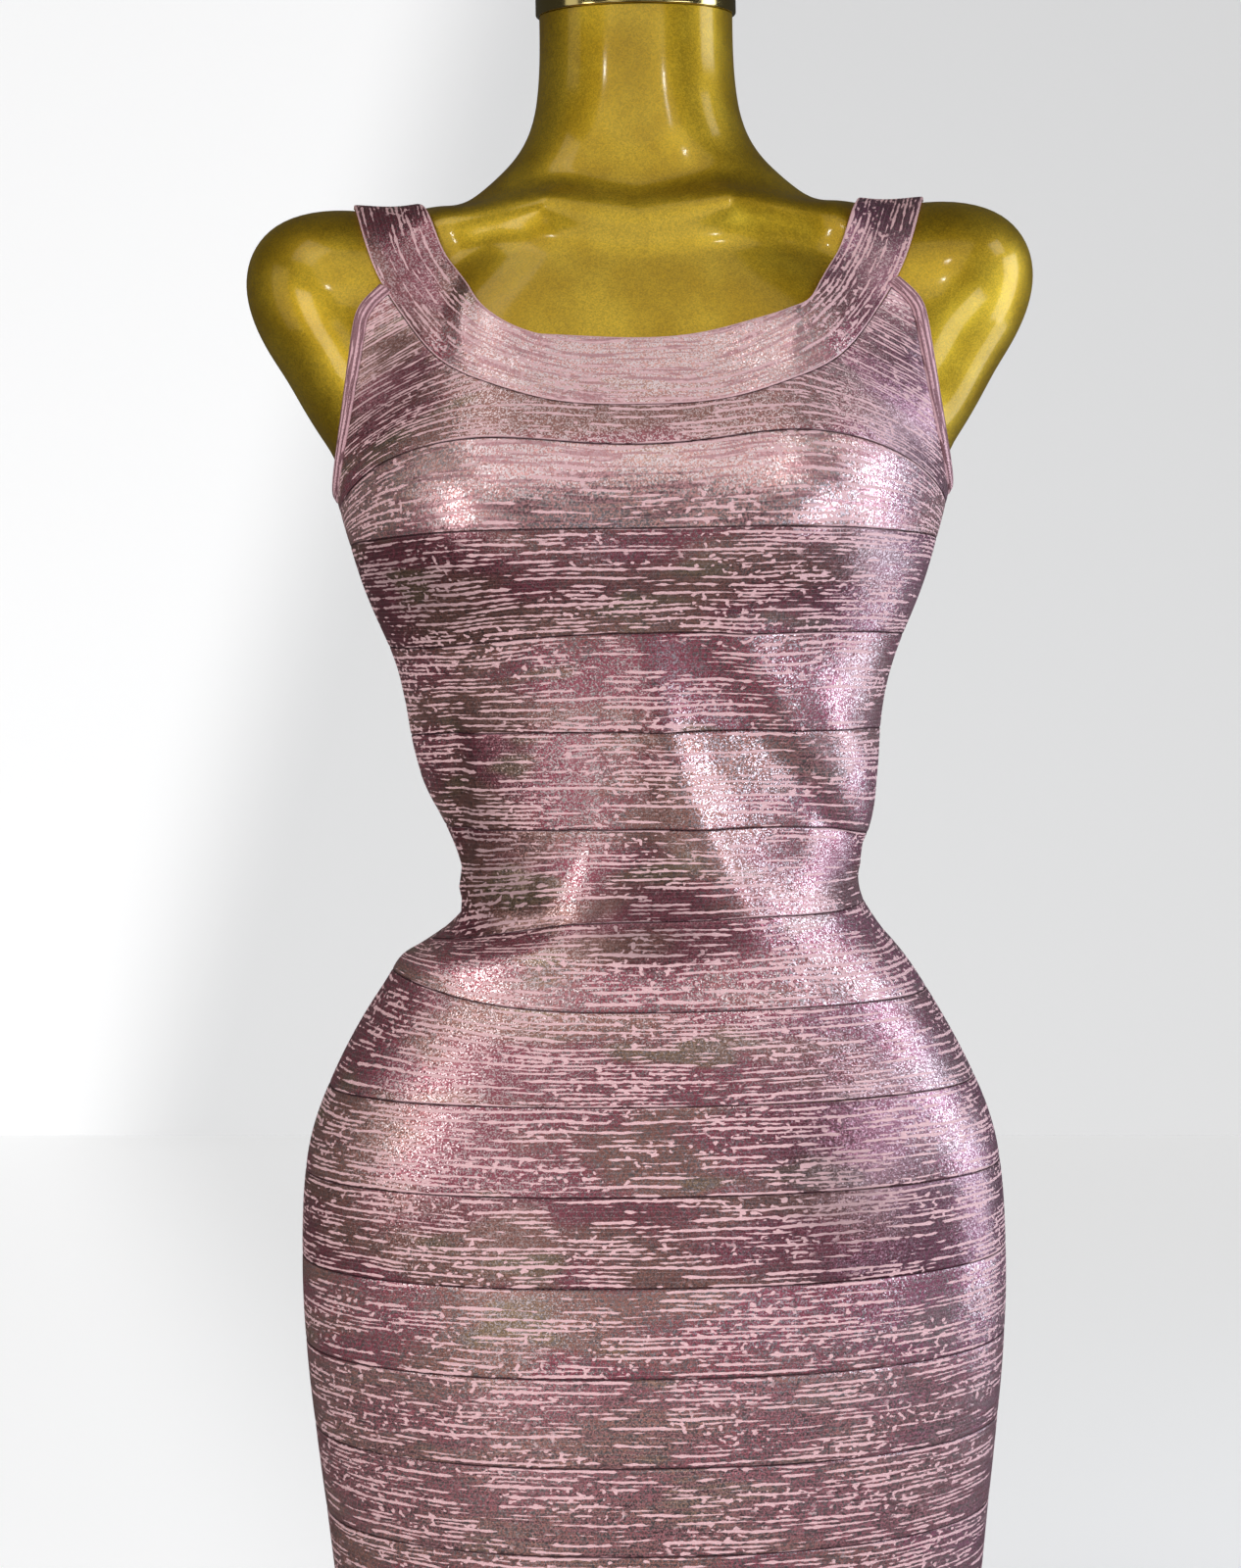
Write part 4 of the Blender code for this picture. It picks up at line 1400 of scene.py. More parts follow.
@dataclass
class Shell:
    """A closed shell of cloth over a grid of body surface points.

    The grid carries the distance from the nearer long edge and the lengths along and across the
    strip. The tone says how pale or dark the foil is painted: its own tone, and painted light and
    shade. The shell is thicker by what is proud and by its crown, and thinner by the share of its
    wall that its edges roll away.
    """

    name: str
    points: np.ndarray
    edge: np.ndarray
    weave: np.ndarray
    tone: np.ndarray | float = 0.0
    proud: np.ndarray | float = 0.0
    crown: float = 0.15 * MM
    roll: float = 0.15
    edge_mark: float = SEWN_MARK

    ROLL_REACH = 0.55 * MM
    CROWN_REACH = 9 * MM

    def thickness(self) -> np.ndarray:
        """Wall thickness, less at rolled edges and a little more in the middle.

        Returns:
            Thicknesses, rows by columns.
        """
        rolled = self.roll * np.exp(-self.edge / self.ROLL_REACH)
        swell = self.crown * (1 - np.exp(-self.edge / self.CROWN_REACH))
        return WALL * (1 - rolled) + swell + self.proud

    def build(self, material: bpy.types.Material) -> bpy.types.Object:
        """Make the shell.

        Args:
            material: The finish.

        Returns:
            The object, at the origin, with its weave coordinates and attributes.
        """
        rows, columns = self.points.shape[:2]
        direction = BODY.outward(self.points)
        lift = fold_rise(self.points)
        outer = self.points + direction * (lift + self.thickness())[..., None]
        inner = self.points + direction * lift[..., None]
        count = rows * columns
        index = np.arange(count).reshape(rows, columns)
        quads = np.stack([index[:-1, :-1], index[:-1, 1:], index[1:, 1:], index[1:, :-1]], -1)
        quads = quads.reshape(-1, 4)
        rim = np.concatenate([index[0, :-1], index[:-1, -1], index[-1, :0:-1], index[:0:-1, 0]])
        after = np.roll(rim, -1)
        walls = np.stack([after, rim, rim + count, after + count], -1)
        across = np.cross(outer[0, 1] - outer[0, 0], outer[1, 0] - outer[0, 0])
        if across @ direction[0, 0] < 0:
            quads, walls = quads[:, ::-1], walls[:, ::-1]
        faces = np.concatenate([quads, quads[:, ::-1] + count, walls])
        mesh = bpy.data.meshes.new(self.name)
        skin = np.concatenate([outer.reshape(-1, 3), inner.reshape(-1, 3)])
        mesh.from_pydata(skin.tolist(), [], faces.tolist())
        corner = np.empty(len(mesh.loops), int)
        mesh.loops.foreach_get("vertex_index", corner)
        weave = np.tile(self.weave.reshape(-1, 2), (2, 1))[corner].astype(np.float32)
        mesh.uv_layers.new(name=WEAVE).data.foreach_set("uv", weave.ravel())
        # The tone with the patches of painted light and shade added to it
        tone_and_light = self.tone + sum(patch.at(self.points) for patch in PAINTED_LIGHT_PATCHES)
        for key, values in ((EDGE, self.edge + self.edge_mark), (TONE, tone_and_light)):
            both = np.tile(values.ravel(), 2).astype(np.float32)
            mesh.attributes.new(key, "FLOAT", "POINT").data.foreach_set("value", both)
        mesh.materials.append(material)
        return placed(self.name, mesh)


def in_scene(name: str, data: bpy.types.ID) -> bpy.types.Object:
    """Put a mesh, lamp or camera in the scene.

    Args:
        name: Name of the object.
        data: What it shows.

    Returns:
        The object.
    """
    made = bpy.data.objects.new(name, data)
    bpy.context.collection.objects.link(made)
    return made


def placed(name: str, mesh: bpy.types.Mesh, sharp: float = 50) -> bpy.types.Object:
    """Shade a mesh smooth but for its sharp edges and put it in the scene.

    Args:
        name: Name of the object.
        mesh: Its mesh.
        sharp: Degrees between faces that meet in a sharp edge.

    Returns:
        The object.
    """
    mesh.shade_smooth()
    mesh.set_sharp_from_angle(angle=math.radians(sharp))
    return in_scene(name, mesh)


def join_in(obj: bpy.types.Object, slot: str, node: str | None = None) -> None:
    """Let a finished piece ride with the rest, and report it.

    Args:
        obj: The piece.
        slot: Finish that it belongs to.
        node: The solid that it stands in for, if there is one.
    """
    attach(obj, "root")
    if node is not None:
        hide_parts(node)
    LOG.info("%s: %d faces, %s", obj.name, len(obj.data.polygons), slot)


def from_edges(length: float, middle_steps: int) -> np.ndarray:
    """Shares across a strip, close together at both edges.

    Args:
        length: Width of the strip.
        middle_steps: Steps between the close ones.

    Returns:
        Rising shares from 0 to 1.
    """
    close = EDGE_STEPS / length
    middle = np.linspace(close[-1], 1 - close[-1], middle_steps + 1)
    return np.concatenate([close[:-1], middle, 1 - close[-2::-1]])


@dataclass
class ClothPiece:
    """What every sewn piece of the dress has in common.

    It is worn longer than its knit is when relaxed, by its stretch.
    """

    name: str
    slot: str = "foil_knit"
    stretch: float = 1.18
    rests_on: str = "form_torso"

    def hand_in(
        self, obj: bpy.types.Object, width: float, length: float, share: float = 1.0
    ) -> None:
        """Say what the piece stands for and what it was cut to.

        Args:
            obj: The finished piece.
            width: Greatest size of the worn piece the way that the knit is stretched.
            length: Greatest size of the worn piece across that.
            share: Share of that rectangle that the cut fills.
        """
        join_in(obj, self.slot, self.name)
        width = width / self.stretch
        LOG.info("%s: cut %.0f x %.0f mm, fills %.2f", self.name, width / MM, length / MM, share)


@dataclass
class RingStrip(ClothPiece):
    """One half of a knitted ring strip between two ring seams.

    The patterns of two strips lie far apart, so that no two look alike.
    """

    side: Side = Side.FRONT
    number: int = 1
    tone: float = 0.0
    columns: int = 150
    rows: int = 9
    apart: float = 0.731
    back_numbers: int = 20

    def build(self, material: bpy.types.Material) -> bpy.types.Object:
        """Make the strip.

        Args:
            material: The finish.

        Returns:
            The strip.
        """
        spread = crowded(np.linspace(-90, 90, self.columns + 1), TRUNK_SQUASH)
        angle = self.side.angle(np.clip(spread, HALF_GAP_DEGREES - 90, 90 - HALF_GAP_DEGREES))
        top = SeamLines.height(self.number - 1, angle) - SEAM_GAP / 2
        last = self.number == len(SeamLines.LEVELS) - 1
        bottom = SeamLines.height(self.number, angle) + (0 if last else SEAM_GAP / 2)
        share = from_edges(float((top - bottom).mean()), self.rows)[:, None]
        points = BODY.round_body(angle[None, :], bottom + (top - bottom) * share)
        along, upward, edge = strip_runs(points)
        tall = upward[-1].mean()
        row = self.number + (0 if self.side is Side.FRONT else self.back_numbers)
        across = share * tall + row * self.apart + 0 * along
        weave = np.stack([along[len(share) // 2] + 0 * share, across], -1)
        obj = Shell(self.name, points, edge, weave, self.tone).build(material)
        self.hand_in(obj, float(np.ptp(along, axis=1).max()), float(tall))
        return obj


@dataclass
class YokePanel(ClothPiece):
    """Panel between the first ring seam, the armholes and the neckband.

    The rows of its foil fan out beside the armholes.
    """

    side: Side = Side.FRONT
    tone: float = 0.0
    rows: int = 22
    fan: float = 7.0
    fan_start: float = 80 * MM

    # Where the pattern of each half starts
    STARTS = {Side.FRONT: 0.37, Side.BACK: 0.53}

    def build(self, cut: YokeCut, material: bpy.types.Material) -> bpy.types.Object:
        """Make the panel.

        Args:
            cut: The lines that bound it.
            material: The finish.

        Returns:
            The panel.
        """
        angle = self.side.angle(cut.columns)
        bottom = SeamLines.height(0, angle) + SEAM_GAP / 2
        top = cut.top(cut.columns)
        share = from_edges(float((top - bottom).max()), self.rows)[:, None]
        points = BODY.round_body(angle[None, :], bottom + (top - bottom) * share)
        along, upward, edge = strip_runs(points)
        beyond = np.maximum(np.abs(points[..., 0]) - self.fan_start, 0)
        across = upward * (1 + self.fan * beyond) + self.STARTS[self.side]
        weave = np.stack([along[0] + 0 * share, across], -1)
        obj = Shell(self.name, points, edge, weave, self.tone).build(material)
        width = float(np.ptp(along, axis=1).max())
        length = float(upward[-1].max())
        wide, tall = np.diff(along, axis=1), np.diff(upward, axis=0)
        cell = 0.25 * (wide[:-1] + wide[1:])
        area = float((cell * (tall[:, :-1] + tall[:, 1:])).sum())
        self.hand_in(obj, width, length, round(area / (width * length), 3))
        return obj


@dataclass
class Neckband(ClothPiece):
    """Strip round half of the neck opening with the shoulder straps at its ends.

    Its foil is palest in the middle and fades to the common one along the straps.
    """

    side: Side = Side.FRONT
    tone: float = 0.85
    fade: float = -1.5
    fade_start: float = 88 * MM
    fade_run: float = 30 * MM
    columns: int = 220
    rows: int = 8
    width: float = 36 * MM
    fills: float = 0.9

    # Where the pattern of each half starts
    STARTS = {Side.FRONT: 0.11, Side.BACK: 0.23}

    def build(self, cut: YokeCut, material: bpy.types.Material) -> bpy.types.Object:
        """Make the strip.

        Args:
            cut: The lines of this half, with its neckline.
            material: The finish.

        Returns:
            The strip.
        """
        stations = np.linspace(0, cut.neckline.last, self.columns + 1)
        share = from_edges(self.width, self.rows)[:, None]
        points = cut.neckline.points(stations[None, :], share)
        for tip in (0, -1):
            points[:, tip, 1] = -self.side.inwards * SEAM_GAP / 2
        along, upward, edge = strip_runs(points)
        middle = along[len(share) // 2]
        weave = np.stack([middle + 0 * share, upward + self.STARTS[self.side]], -1)
        faded = np.clip((np.abs(middle) - self.fade_start) / self.fade_run, 0, 1)
        tone = self.tone + self.fade * faded
        obj = Shell(self.name, points, edge, weave, tone, edge_mark=0).build(material)
        self.hand_in(obj, float(np.ptp(middle)), float(upward[-1].max()), self.fills)
        return obj


@dataclass
class ArmholeBinding(ClothPiece):
    """Narrow folded strip sewn round an armhole, from strap to strap under the arm."""

    slot: str = "knit_edging"
    mirror: int = 1
    steps: int = 130
    across: int = 9
    proud: float = 0.5 * MM
    crown: float = 0.9 * MM
    groove: float = 0.55 * MM
    groove_at: float = 1.9 * MM
    groove_width: float = 0.6 * MM
    roll: float = 0.35
    apart: float = 0.05

    def lines(self, cuts: dict[Side, YokeCut]) -> tuple[np.ndarray, np.ndarray]:
        """Long edges of the binding on the +X side.

        Args:
            cuts: The lines of both halves.

        Returns:
            Its inner and its outer line, from the front strap round to the back one.
        """
        last = FINE_STEPS - 1
        whole = np.linspace(0, last, self.steps + 1)
        short = np.minimum(whole, last * (1 - BINDING_END))
        halves = []
        for side in (Side.FRONT, Side.BACK):
            halves.append((read_line(cuts[side].stitch, whole), read_line(cuts[side].hole, short)))
        (inner_front, outer_front), (inner_back, outer_back) = halves
        inner = np.concatenate([inner_front[::-1], inner_back[1:]])
        outer = np.concatenate([outer_front[::-1], outer_back[1:]])
        return inner, outer

    def build(self, cuts: dict[Side, YokeCut], material: bpy.types.Material) -> bpy.types.Object:
        """Make the binding.

        Args:
            cuts: The lines of both halves.
            material: The finish.

        Returns:
            The binding.
        """
        inner, outer = self.lines(cuts)
        share = np.linspace(0, 1, self.across)[:, None, None]
        points = BODY.under(inner + (outer - inner) * share)
        points[0] = inner
        points[-1] = outer
        points = points * (self.mirror, 1, 1)
        along, upward, edge = strip_runs(points, centred=False)
        line = bell(upward - self.groove_at, self.groove_width)
        swell = self.crown * np.sqrt(np.clip(edge / (upward[-1] / 2), 0, 1)) - self.groove * line
        across = upward + self.apart * (2 + self.mirror)
        weave = np.stack([along[0] + 0 * share[..., 0], across], -1)
        shell = Shell(self.name, points, edge, weave, 0.0, self.proud + swell, 0.0, self.roll)
        obj = shell.build(material)
        turned = float(upward[-1].mean()) + WALL + self.proud + self.crown
        self.hand_in(obj, float(np.ptp(along[0])), turned)
        return obj


class StitchTree:
    """Geometry Nodes tree that lays short stitches along the edges of a mesh."""

    def __init__(self) -> None:
        """Build the tree with its named inputs."""
        self.tree = bpy.data.node_groups.new("stitches_along_seam", "GeometryNodeTree")
        face = self.tree.interface
        face.new_socket("Seam", in_out="INPUT", socket_type="NodeSocketGeometry")
        for name in ("Spacing", "Length", "Thickness"):
            face.new_socket(name, in_out="INPUT", socket_type="NodeSocketFloat")
        face.new_socket("Thread", in_out="INPUT", socket_type="NodeSocketMaterial")
        face.new_socket("Stitches", in_out="OUTPUT", socket_type="NodeSocketGeometry")
        group = self.add("NodeGroupInput")
        curve = self.add("GeometryNodeMeshToCurve", Mesh=group.outputs["Seam"])
        even = self.add("GeometryNodeResampleCurve", Curve=curve.outputs[0])
        if hasattr(even, "mode"):
            even.mode = "LENGTH"
        self.link(group.outputs["Spacing"], even.inputs["Length"])
        bead = self.add("GeometryNodeMeshIcoSphere")
        bead.inputs["Radius"].default_value = 1.0
        bead.inputs["Subdivisions"].default_value = 1
        thick, length = group.outputs["Thickness"], group.outputs["Length"]
        size = self.add("ShaderNodeCombineXYZ", X=thick, Y=thick, Z=length)
        tangent = self.add("GeometryNodeInputTangent")
        turn = self.add("FunctionNodeAlignRotationToVector", Vector=tangent.outputs[0])
        turn.axis = "Z"
        laid = self.add(
            "GeometryNodeInstanceOnPoints", Points=even.outputs[0], Instance=bead.outputs[0],
            Rotation=turn.outputs[0], Scale=size.outputs[0],
        )
        real = self.add("GeometryNodeRealizeInstances", Geometry=laid.outputs[0])
        thread = group.outputs["Thread"]
        dressed = self.add("GeometryNodeSetMaterial", Geometry=real.outputs[0], Material=thread)
        self.add("NodeGroupOutput", Stitches=dressed.outputs[0])

    def add(self, kind: str, **inputs: Socket) -> bpy.types.Node:
        """Add a node and link its named inputs.

        Args:
            kind: Node type.
            inputs: Socket name, and the socket that goes in.

        Returns:
            The node.
        """
        node = self.tree.nodes.new(kind)
        for name, socket in inputs.items():
            self.link(socket, node.inputs[name])
        return node

    def link(self, source: Socket, target: Socket) -> None:
        """Link two sockets."""
        self.tree.links.new(source, target)

    def identifiers(self) -> dict[str, str]:
        """Identifier of each input by its name."""
        sockets = self.tree.interface.items_tree
        return {item.name: item.identifier for item in sockets if item.in_out == "INPUT"}


@dataclass
class SeamStitches:
    """Rows of stitches along seam lines, made plain in one object."""

    name: str
    slot: str
    spacing: float = 2.8 * MM
    length: float = 1.05 * MM
    thickness: float = 0.22 * MM
    sharp: float = 80

    def build(
        self, lines: list[np.ndarray], tree: StitchTree, thread: bpy.types.Material
    ) -> bpy.types.Object:
        """Lay the stitches.

        Args:
            lines: Each row of stitches as a line of points.
            tree: The tree that lays them.
            thread: Their finish.

        Returns:
            A plain mesh object.
        """
        guide = bpy.data.meshes.new(self.name + "_guide")
        start = np.cumsum([0] + [len(line) for line in lines])
        edges = [
            (first + i, first + i + 1)
            for first, line in zip(start, lines) for i in range(len(line) - 1)
        ]
        guide.from_pydata(np.concatenate(lines).tolist(), edges, [])
        carrier = in_scene(self.name + "_guide", guide)
        modifier = carrier.modifiers.new("stitches", "NODES")
        modifier.node_group = tree.tree
        sizes = {"Spacing": self.spacing, "Length": self.length, "Thickness": self.thickness}
        names = tree.identifiers()
        for name, value in {**sizes, "Thread": thread}.items():
            modifier[names[name]] = value
        graph = bpy.context.evaluated_depsgraph_get()
        mesh = bpy.data.meshes.new_from_object(carrier.evaluated_get(graph))
        bpy.data.objects.remove(carrier, do_unlink=True)
        mesh.name = self.name
        made = placed(self.name, mesh, self.sharp)
        join_in(made, self.slot)
        return made


@dataclass
class DisplayTorso:
    """Smooth painted display torso without limbs.

    It stands back from the cloth round the waist by the slack, which leaves room for the folds.
    """

    name: str = "form_torso"
    columns: int = 200
    foot_edge: float = 4 * MM
    slack: float = 15 * MM
    slack_middle: float = 532 * MM
    slack_reach: float = 62 * MM
    neck_top: float = 997.4 * MM
    neck_start: float = 936 * MM
    neck_edge: float = 2.5 * MM
    lean_start: float = 940 * MM

    # Heights of the level rings up to the shoulders, in mm, and tilts of the rays, in degrees
    TRUNK_RINGS = np.concatenate([[0], np.arange(20, 700, 20), np.arange(700, 800, 4)])
    FAN_TILTS = np.concatenate([np.arange(0, 30, 1.0), np.arange(30, 66.5, 0.7)])
    NECK_RINGS = 14
    FOOT_TURNS = np.arange(0, 91, 15)

    def rings(self) -> np.ndarray:
        """Body surface from foot to neck top.

        Level rings lead up to the shoulders, a fan of rays over them, and level rings up the neck.

        Returns:
            Points, rings by columns by 3.
        """
        angle = np.linspace(0, 2 * math.pi, self.columns, endpoint=False)
        rings = [BODY.round_body(angle, z, TORSO_BLEND) for z in self.TRUNK_RINGS * MM]
        middle = np.zeros((self.columns, 3)) + (0, 0, FAN_HEIGHT)
        for tilt in np.radians(self.FAN_TILTS):
            flat = math.cos(tilt)
            up = np.full(self.columns, math.sin(tilt))
            direction = np.stack([np.cos(angle) * flat, np.sin(angle) * flat, up], axis=-1)
            rings.append(BODY.along_ray(middle, direction, TORSO_BLEND))
        neck = np.linspace(self.neck_start, self.neck_top - self.neck_edge, self.NECK_RINGS)
        neck = np.append(neck, self.neck_top)
        rings += [BODY.round_body(angle, z, TORSO_BLEND) for z in neck]
        return np.array(rings)

    def build(self, material: bpy.types.Material) -> bpy.types.Object:
        """Make the torso.

        Args:
            material: The finish.

        Returns:
            The torso.
        """
        rings = self.rings()
        height = rings[..., 2]
        slack = self.slack * bell(height - self.slack_middle, self.slack_reach)
        inside = BODY.outward(rings, TORSO_BLEND) * (CLEARANCE + slack)[..., None]
        inside[[0, -1], :, 2] = 0
        rings = rings - inside
        share = np.clip((rings[..., 2] - self.lean_start) / (self.neck_top - self.lean_start), 0, 1)
        rings[..., 2] += NECK_LEAN * rings[..., 1] * share
        foot = rings[0] * (1, 1, 0)
        centre = foot.mean(axis=0)
        toward = (centre - foot) / np.linalg.norm(centre - foot, axis=-1, keepdims=True)
        turn = np.radians(self.FOOT_TURNS)[:, None, None]
        rounded = foot + toward * self.foot_edge * (1 - np.sin(turn))
        rounded = rounded + np.array((0, 0, 1)) * self.foot_edge * (1 - np.cos(turn))
        rings = np.concatenate([rounded, rings[1:]])
        obj = stacked(self.name, rings, material)
        join_in(obj, "gold_paint", self.name)
        return obj


@dataclass
class NeckCap:
    """Polished round cap on the flat top of the neck."""

    name: str = "form_neck_cap"
    bottom: float = 997.7 * MM
    height: float = 28 * MM
    radius: float = 54.1 * MM
    edge: float = 1.2 * MM
    steps: int = 160

    def profile(self) -> np.ndarray:
        """Turned profile of the cap, with rounded edges.

        Returns:
            Rows of radius and height, from the bottom up.
        """
        low = np.radians(np.linspace(-90, 0, 6))
        high = np.radians(np.linspace(0, 90, 12))
        top_edge = 3 * self.edge
        lower = np.stack([np.cos(low), 1 + np.sin(low)], -1) * self.edge
        lower = lower + (self.radius - self.edge, self.bottom)
        upper = np.stack([np.cos(high), np.sin(high)], -1) * top_edge
        upper = upper + (self.radius - top_edge, self.bottom + self.height - top_edge)
        return np.concatenate([lower, upper])

    def build(self, material: bpy.types.Material) -> bpy.types.Object:
        """Make the cap.

        Args:
            material: The finish.

        Returns:
            The cap.
        """
        angle = np.linspace(0, 2 * math.pi, self.steps, endpoint=False)
        radius, height = self.profile().T[..., None]
        rings = np.stack(
            [radius * np.cos(angle), radius * np.sin(angle), height + 0 * angle], axis=-1
        )
        rings[..., 2] += NECK_LEAN * rings[..., 1]
        obj = stacked(self.name, rings, material)
        join_in(obj, "polished_gold", self.name)
        return obj


def stacked(name: str, rings: np.ndarray, material: bpy.types.Material) -> bpy.types.Object:
    """A closed stack of rings, with a flat face at each end.

    Args:
        name: Name of the object.
        rings: Points, rings from the bottom up by columns counted from +X towards +Y.
        material: The finish.

    Returns:
        The object.
    """
    count, columns = rings.shape[:2]
    index = np.arange(count * columns).reshape(count, columns)
    beside = np.roll(index, -1, axis=1)
    quads = np.stack([index[:-1], beside[:-1], beside[1:], index[1:]], -1).reshape(-1, 4)
    faces = [index[0, ::-1].tolist(), index[-1].tolist(), *quads.tolist()]
    mesh = bpy.data.meshes.new(name)
    mesh.from_pydata(rings.reshape(-1, 3).tolist(), [], faces)
    mesh.materials.append(material)
    return placed(name, mesh)


@dataclass(frozen=True)
class SoftBox:
    """A lamp with a rectangular face, aimed at a height on the dress's middle line.

    A veiled one lights matt surfaces and leaves no reflection of its own.
    """

    name: str
    place: tuple[float, float, float]
    width: float
    length: float
    power: float
    along: tuple[float, float, float] = (0, 0, 1)
    colour: tuple[float, float, float] = (1, 1, 1)
    veiled: bool = False
    aim: float = 0.62


LAVENDER = (0.77, 0.86, 1.0)
SOFT_BOXES = (
    SoftBox("fill_front", (0, -2.4, 0.85), 2.6, 1.6, 7.8, veiled=True),
    SoftBox("soft_box_above", (0, -1.4, 2.3), 3.0, 1.4, 8.5),
    SoftBox("fill_low", (0, -0.95, 0.12), 0.9, 0.2, 4.0, veiled=True, aim=0.2),
    SoftBox("left_low", (-0.62, -1.10, 0.45), 0.20, 0.75, 0.5, (-0.35, 0.30, 0.55)),
    SoftBox("left_middle", (-1.05, -0.72, 0.72), 0.26, 0.76, 2.6),
    SoftBox("left_side", (-1.30, -0.32, 0.95), 0.40, 1.00, 0.75),
    SoftBox("left_floor", (-0.50, -1.15, 0.06), 0.45, 0.30, 0.3, (0, 0.5, 0.5)),
    SoftBox("left_high", (-0.81, -0.50, 1.88), 0.45, 0.60, 1.2),
    SoftBox("right_low", (0.48, -1.27, 0.20), 0.12, 0.65, 0.4, (0.59, 0.15, 0.18), LAVENDER),
    SoftBox("right_middle", (1.08, -0.84, 0.58), 0.36, 0.80, 4.1, (0.26, 0.41, 0.55), LAVENDER),
    SoftBox("right_side", (1.38, 0.02, 0.92), 0.48, 0.95, 6.2, (0, 0, 1), LAVENDER),
    SoftBox("right_back", (1.28, 0.28, 0.28), 0.50, 0.50, 2.2, (0, 0, 1), LAVENDER),
    SoftBox("front_high", (0, -1.5, 1.36), 1.9, 0.48, 2.6),
    SoftBox("right_high", (1.19, -0.20, 1.62), 0.3, 0.3, 0.8),
    SoftBox("bulb_left", (-0.85, -1.20, 1.42), 0.05, 0.05, 0.6),
    SoftBox("bulb_right", (0.72, -1.27, 1.45), 0.05, 0.05, 0.6),
    SoftBox("bulb_high", (0.68, -1.06, 1.82), 0.05, 0.05, 0.6),
)


@dataclass
class Studio:
    """Pale floor and backdrop, soft lights and the camera."""

    camera_distance: float = 1.35
    eye_level: float = 0.625
    focal_px: float = 2547
    tall_px: float = 1600
    wide_px: float = 1266
    axis_px: float = 659
    eye_px: float = 720
    roll: float = -0.85
    film: float = 36.0
    near: float = -4.0
    half: float = 5.0
    tall: float = 4.0
    wall: float = 2.28
    skew: float = 0.085
    air_glow: float = 0.04

    def camera(self) -> None:
        """Place the camera."""
        data = bpy.data.cameras.new("studio_camera")
        data.sensor_width = self.film
        data.lens = self.focal_px / self.tall_px * self.film
        data.shift_x = (self.wide_px / 2 - self.axis_px) / self.tall_px
        data.shift_y = (self.eye_px - self.tall_px / 2) / self.tall_px
        data.clip_start = 0.05
        camera = in_scene("studio_camera", data)
        roll = Matrix.Rotation(math.radians(self.roll), 4, "Z")
        turn = Matrix.Rotation(math.radians(90), 4, "X") @ roll
        camera.matrix_world = Matrix.Translation((0, -self.camera_distance, self.eye_level)) @ turn
        bpy.context.scene.camera = camera

    def lamp(self, box: SoftBox) -> None:
        """Hang a soft box and aim it at the dress.

        Args:
            box: The soft box.
        """
        data = bpy.data.lights.new(box.name, "AREA")
        data.shape = "RECTANGLE"
        data.size, data.size_y = box.width, box.length
        data.energy = box.power
        data.color = box.colour
        lamp = in_scene(box.name, data)
        lamp.location = box.place
        toward = (Vector(box.place) - Vector((0, 0, box.aim))).normalized()
        across = Vector(box.along).cross(toward).normalized()
        turn = Matrix((across, toward.cross(across), toward)).transposed()
        lamp.rotation_euler = turn.to_euler()
        lamp.visible_glossy = not box.veiled

    def backdrop(self) -> None:
        """Lay the floor and hang the wall behind it."""
        left, right = (
            (way * self.half, self.wall - way * self.skew * self.half) for way in (-1, 1)
        )
        floor = [(left[0], self.near, 0), (right[0], self.near, 0), (*right, 0), (*left, 0)]
        wall = [(*left, 0), (*right, 0), (*right, self.tall), (*left, self.tall)]
        floor_look = PaleBackdrop(
            "floor_paper", light=0.72, shade=0.56, middle=-0.052, lean=(-0.31, 0), softness=0.17
        )
        wall_look = PaleBackdrop(
            "wall_paper", light=0.78, shade=0.525, middle=-0.788, lean=(0, 0.32), softness=0.14
        )
        for name, corners, look in (
            ("studio_floor", floor, floor_look),
            ("studio_wall", wall, wall_look),
        ):
            mesh = bpy.data.meshes.new(name)
            mesh.from_pydata(corners, [], [(0, 1, 2, 3)])
            mesh.materials.append(look.build())
            made = in_scene(name, mesh)
            made.visible_glossy = False
            LOG.info("%s: part of the studio", name)

    def light(self) -> None:
        """Set the room's own light and the soft boxes."""
        scene = bpy.context.scene
        scene.view_settings.view_transform = "Standard"
        world = bpy.data.worlds.new("studio_air")
        world.use_nodes = True
        air = world.node_tree.nodes["Background"]
        air.inputs[0].default_value = (1, 1, 1, 1)
        air.inputs[1].default_value = self.air_glow
        scene.world = world
        for box in SOFT_BOXES:
            self.lamp(box)

    def build(self) -> None:
        """Set up the whole studio."""
        self.camera()
        self.backdrop()
        self.light()


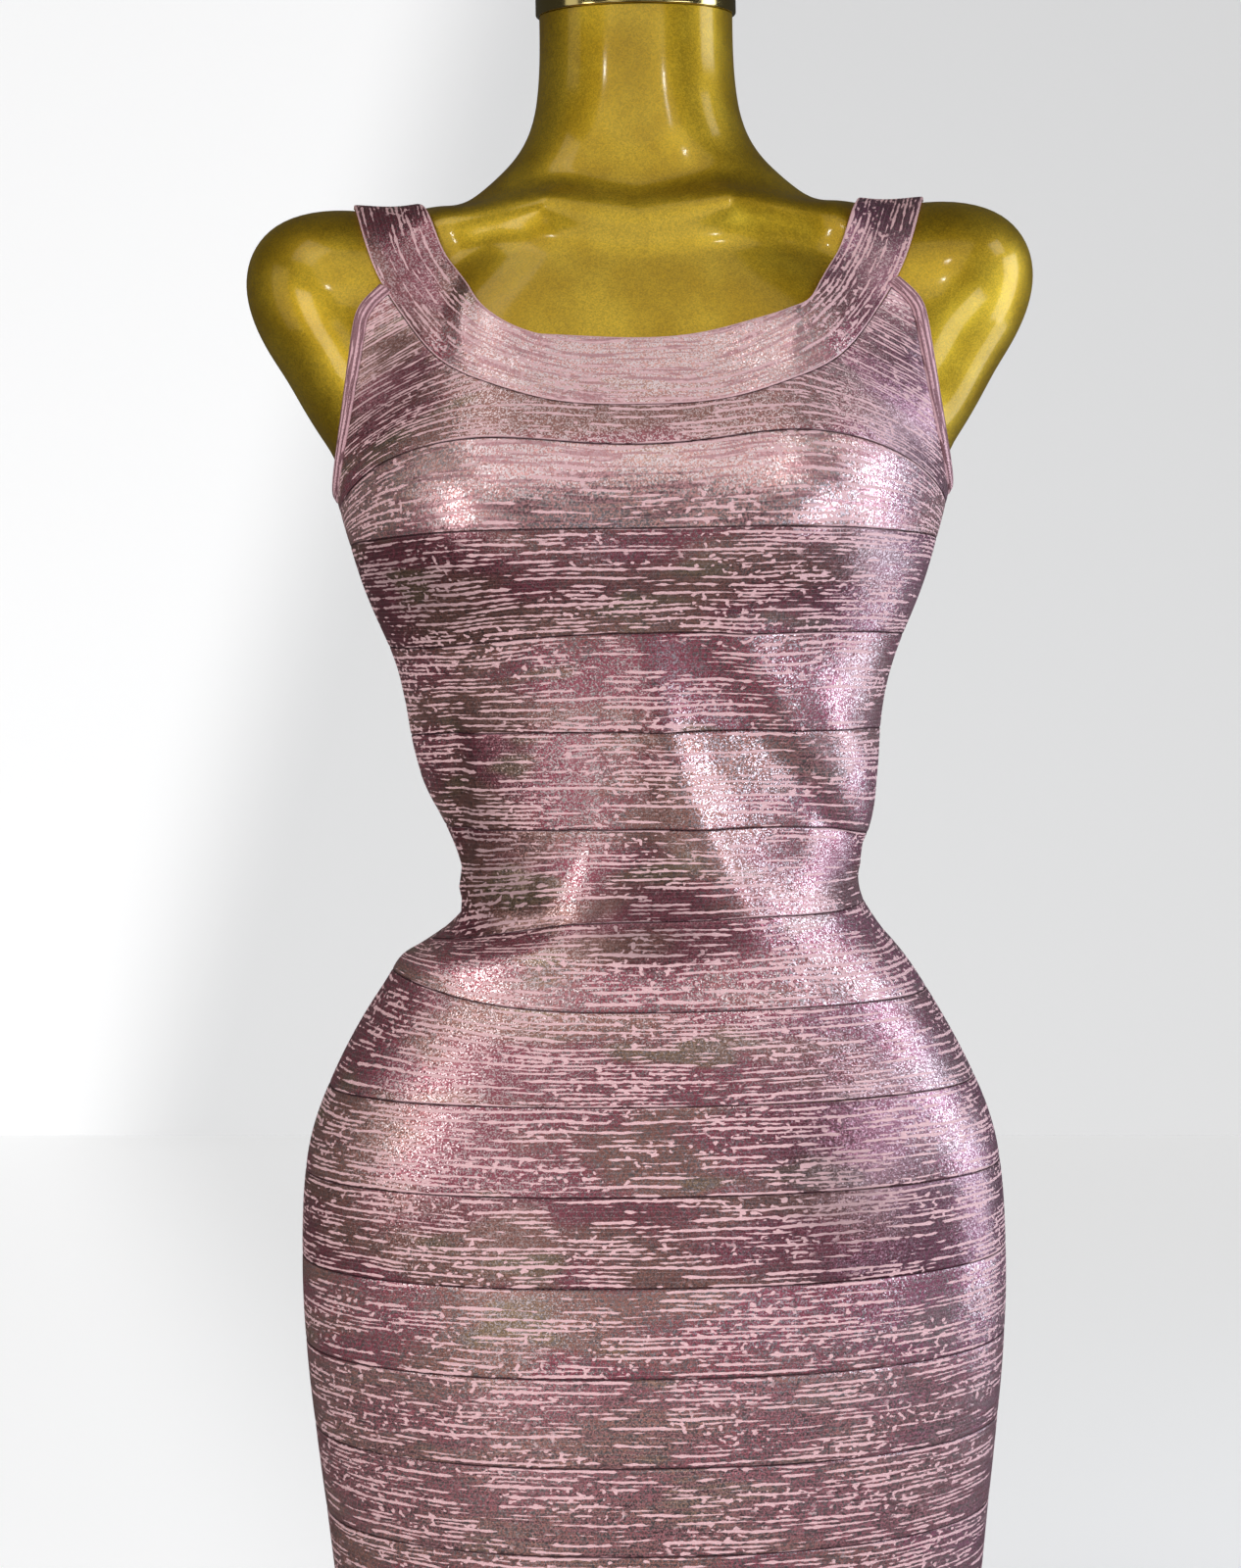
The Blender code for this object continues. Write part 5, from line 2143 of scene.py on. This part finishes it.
class Dress:
    """The whole dress: neckband, yokes, ring strips, bindings and stitches."""

    # How pale the foil of each ring strip is, from the bust down: partly its own tone, partly
    # painted light and shade, paler where a strip catches the light and darker where it lies in
    # shade
    STRIP_TONES = (
        0.8, -0.5, -0.3, -0.1, -0.3, -0.1, -0.4, -0.4, -0.6, -0.1, 0.35, 0.4, 0.2, 0.2, 0.1,
    )
    YOKE_TONE = -0.3
    # Stitches in a ring seam: points round it, and how deep in the wall they lie
    SEAM_POINTS = 361
    SEAM_DEPTH = 0.55
    # Rows on a binding, as shares of the way from its inner to its outer line, and how far the
    # rows stand above the wall
    BINDING_ROWS = (0.26, 0.45)
    BINDING_RISE = 0.85 * MM

    def __init__(self) -> None:
        """Work out the cut of both halves."""
        self.cuts = {side: YokeCut(side) for side in Side}

    def build(self) -> None:
        """Make every piece of the dress."""
        knit = FoilKnit().build()
        edging = PinkEdging().build()
        for side, cut in self.cuts.items():
            Neckband(f"neckband_{side.value}", side=side).build(cut, knit)
            YokePanel(f"{side.value}_yoke", side=side, tone=self.YOKE_TONE).build(cut, knit)
            for number, tone in enumerate(self.STRIP_TONES, 1):
                name = f"{side.value}_band_{number:02d}"
                RingStrip(name, side=side, number=number, tone=tone).build(knit)
        for name, mirror in (("left", 1), ("right", -1)):
            ArmholeBinding(f"armhole_binding_{name}", mirror=mirror).build(self.cuts, edging)
        self.sew()

    def sew(self) -> None:
        """Lay the stitches in the ring seams and on the bindings."""
        tree = StitchTree()
        dark = Thread("seam_thread", (0.16, 0.07, 0.085, 1)).build()
        light = Thread("edge_thread", (0.62, 0.36, 0.40, 1)).build()
        rings = []
        turn = np.linspace(0, 2 * math.pi, self.SEAM_POINTS)
        for seam in range(len(SeamLines.LEVELS) - 1):
            points = BODY.round_body(turn, SeamLines.height(seam, turn))
            rings.append(self.on_cloth(points, self.SEAM_DEPTH * WALL))
        SeamStitches("ring_seam_stitches", "foil_knit").build(rings, tree, dark)
        rows = []
        inner, outer = ArmholeBinding("rows").lines(self.cuts)
        for mirror in (1, -1):
            for share in self.BINDING_ROWS:
                points = BODY.under(inner + (outer - inner) * share) * (mirror, 1, 1)
                rows.append(self.on_cloth(points, WALL + self.BINDING_RISE))
        fine = SeamStitches("binding_stitches", "knit_edging", spacing=2.4 * MM, length=0.85 * MM)
        fine.build(rows, tree, light)

    @staticmethod
    def on_cloth(points: np.ndarray, height: float) -> np.ndarray:
        """Lift body surface points to a height above the cloth's inner face."""
        return points + BODY.outward(points) * (fold_rise(points) + height)[..., None]


def main() -> None:
    """Build the studio, the display torso and the dress."""
    logging.basicConfig(level=logging.INFO, format="%(message)s")
    Studio().build()
    DisplayTorso().build(GoldPaint().build())
    NeckCap().build(PolishedGold().build())
    Dress().build()


if __name__ == "__main__":
    main()
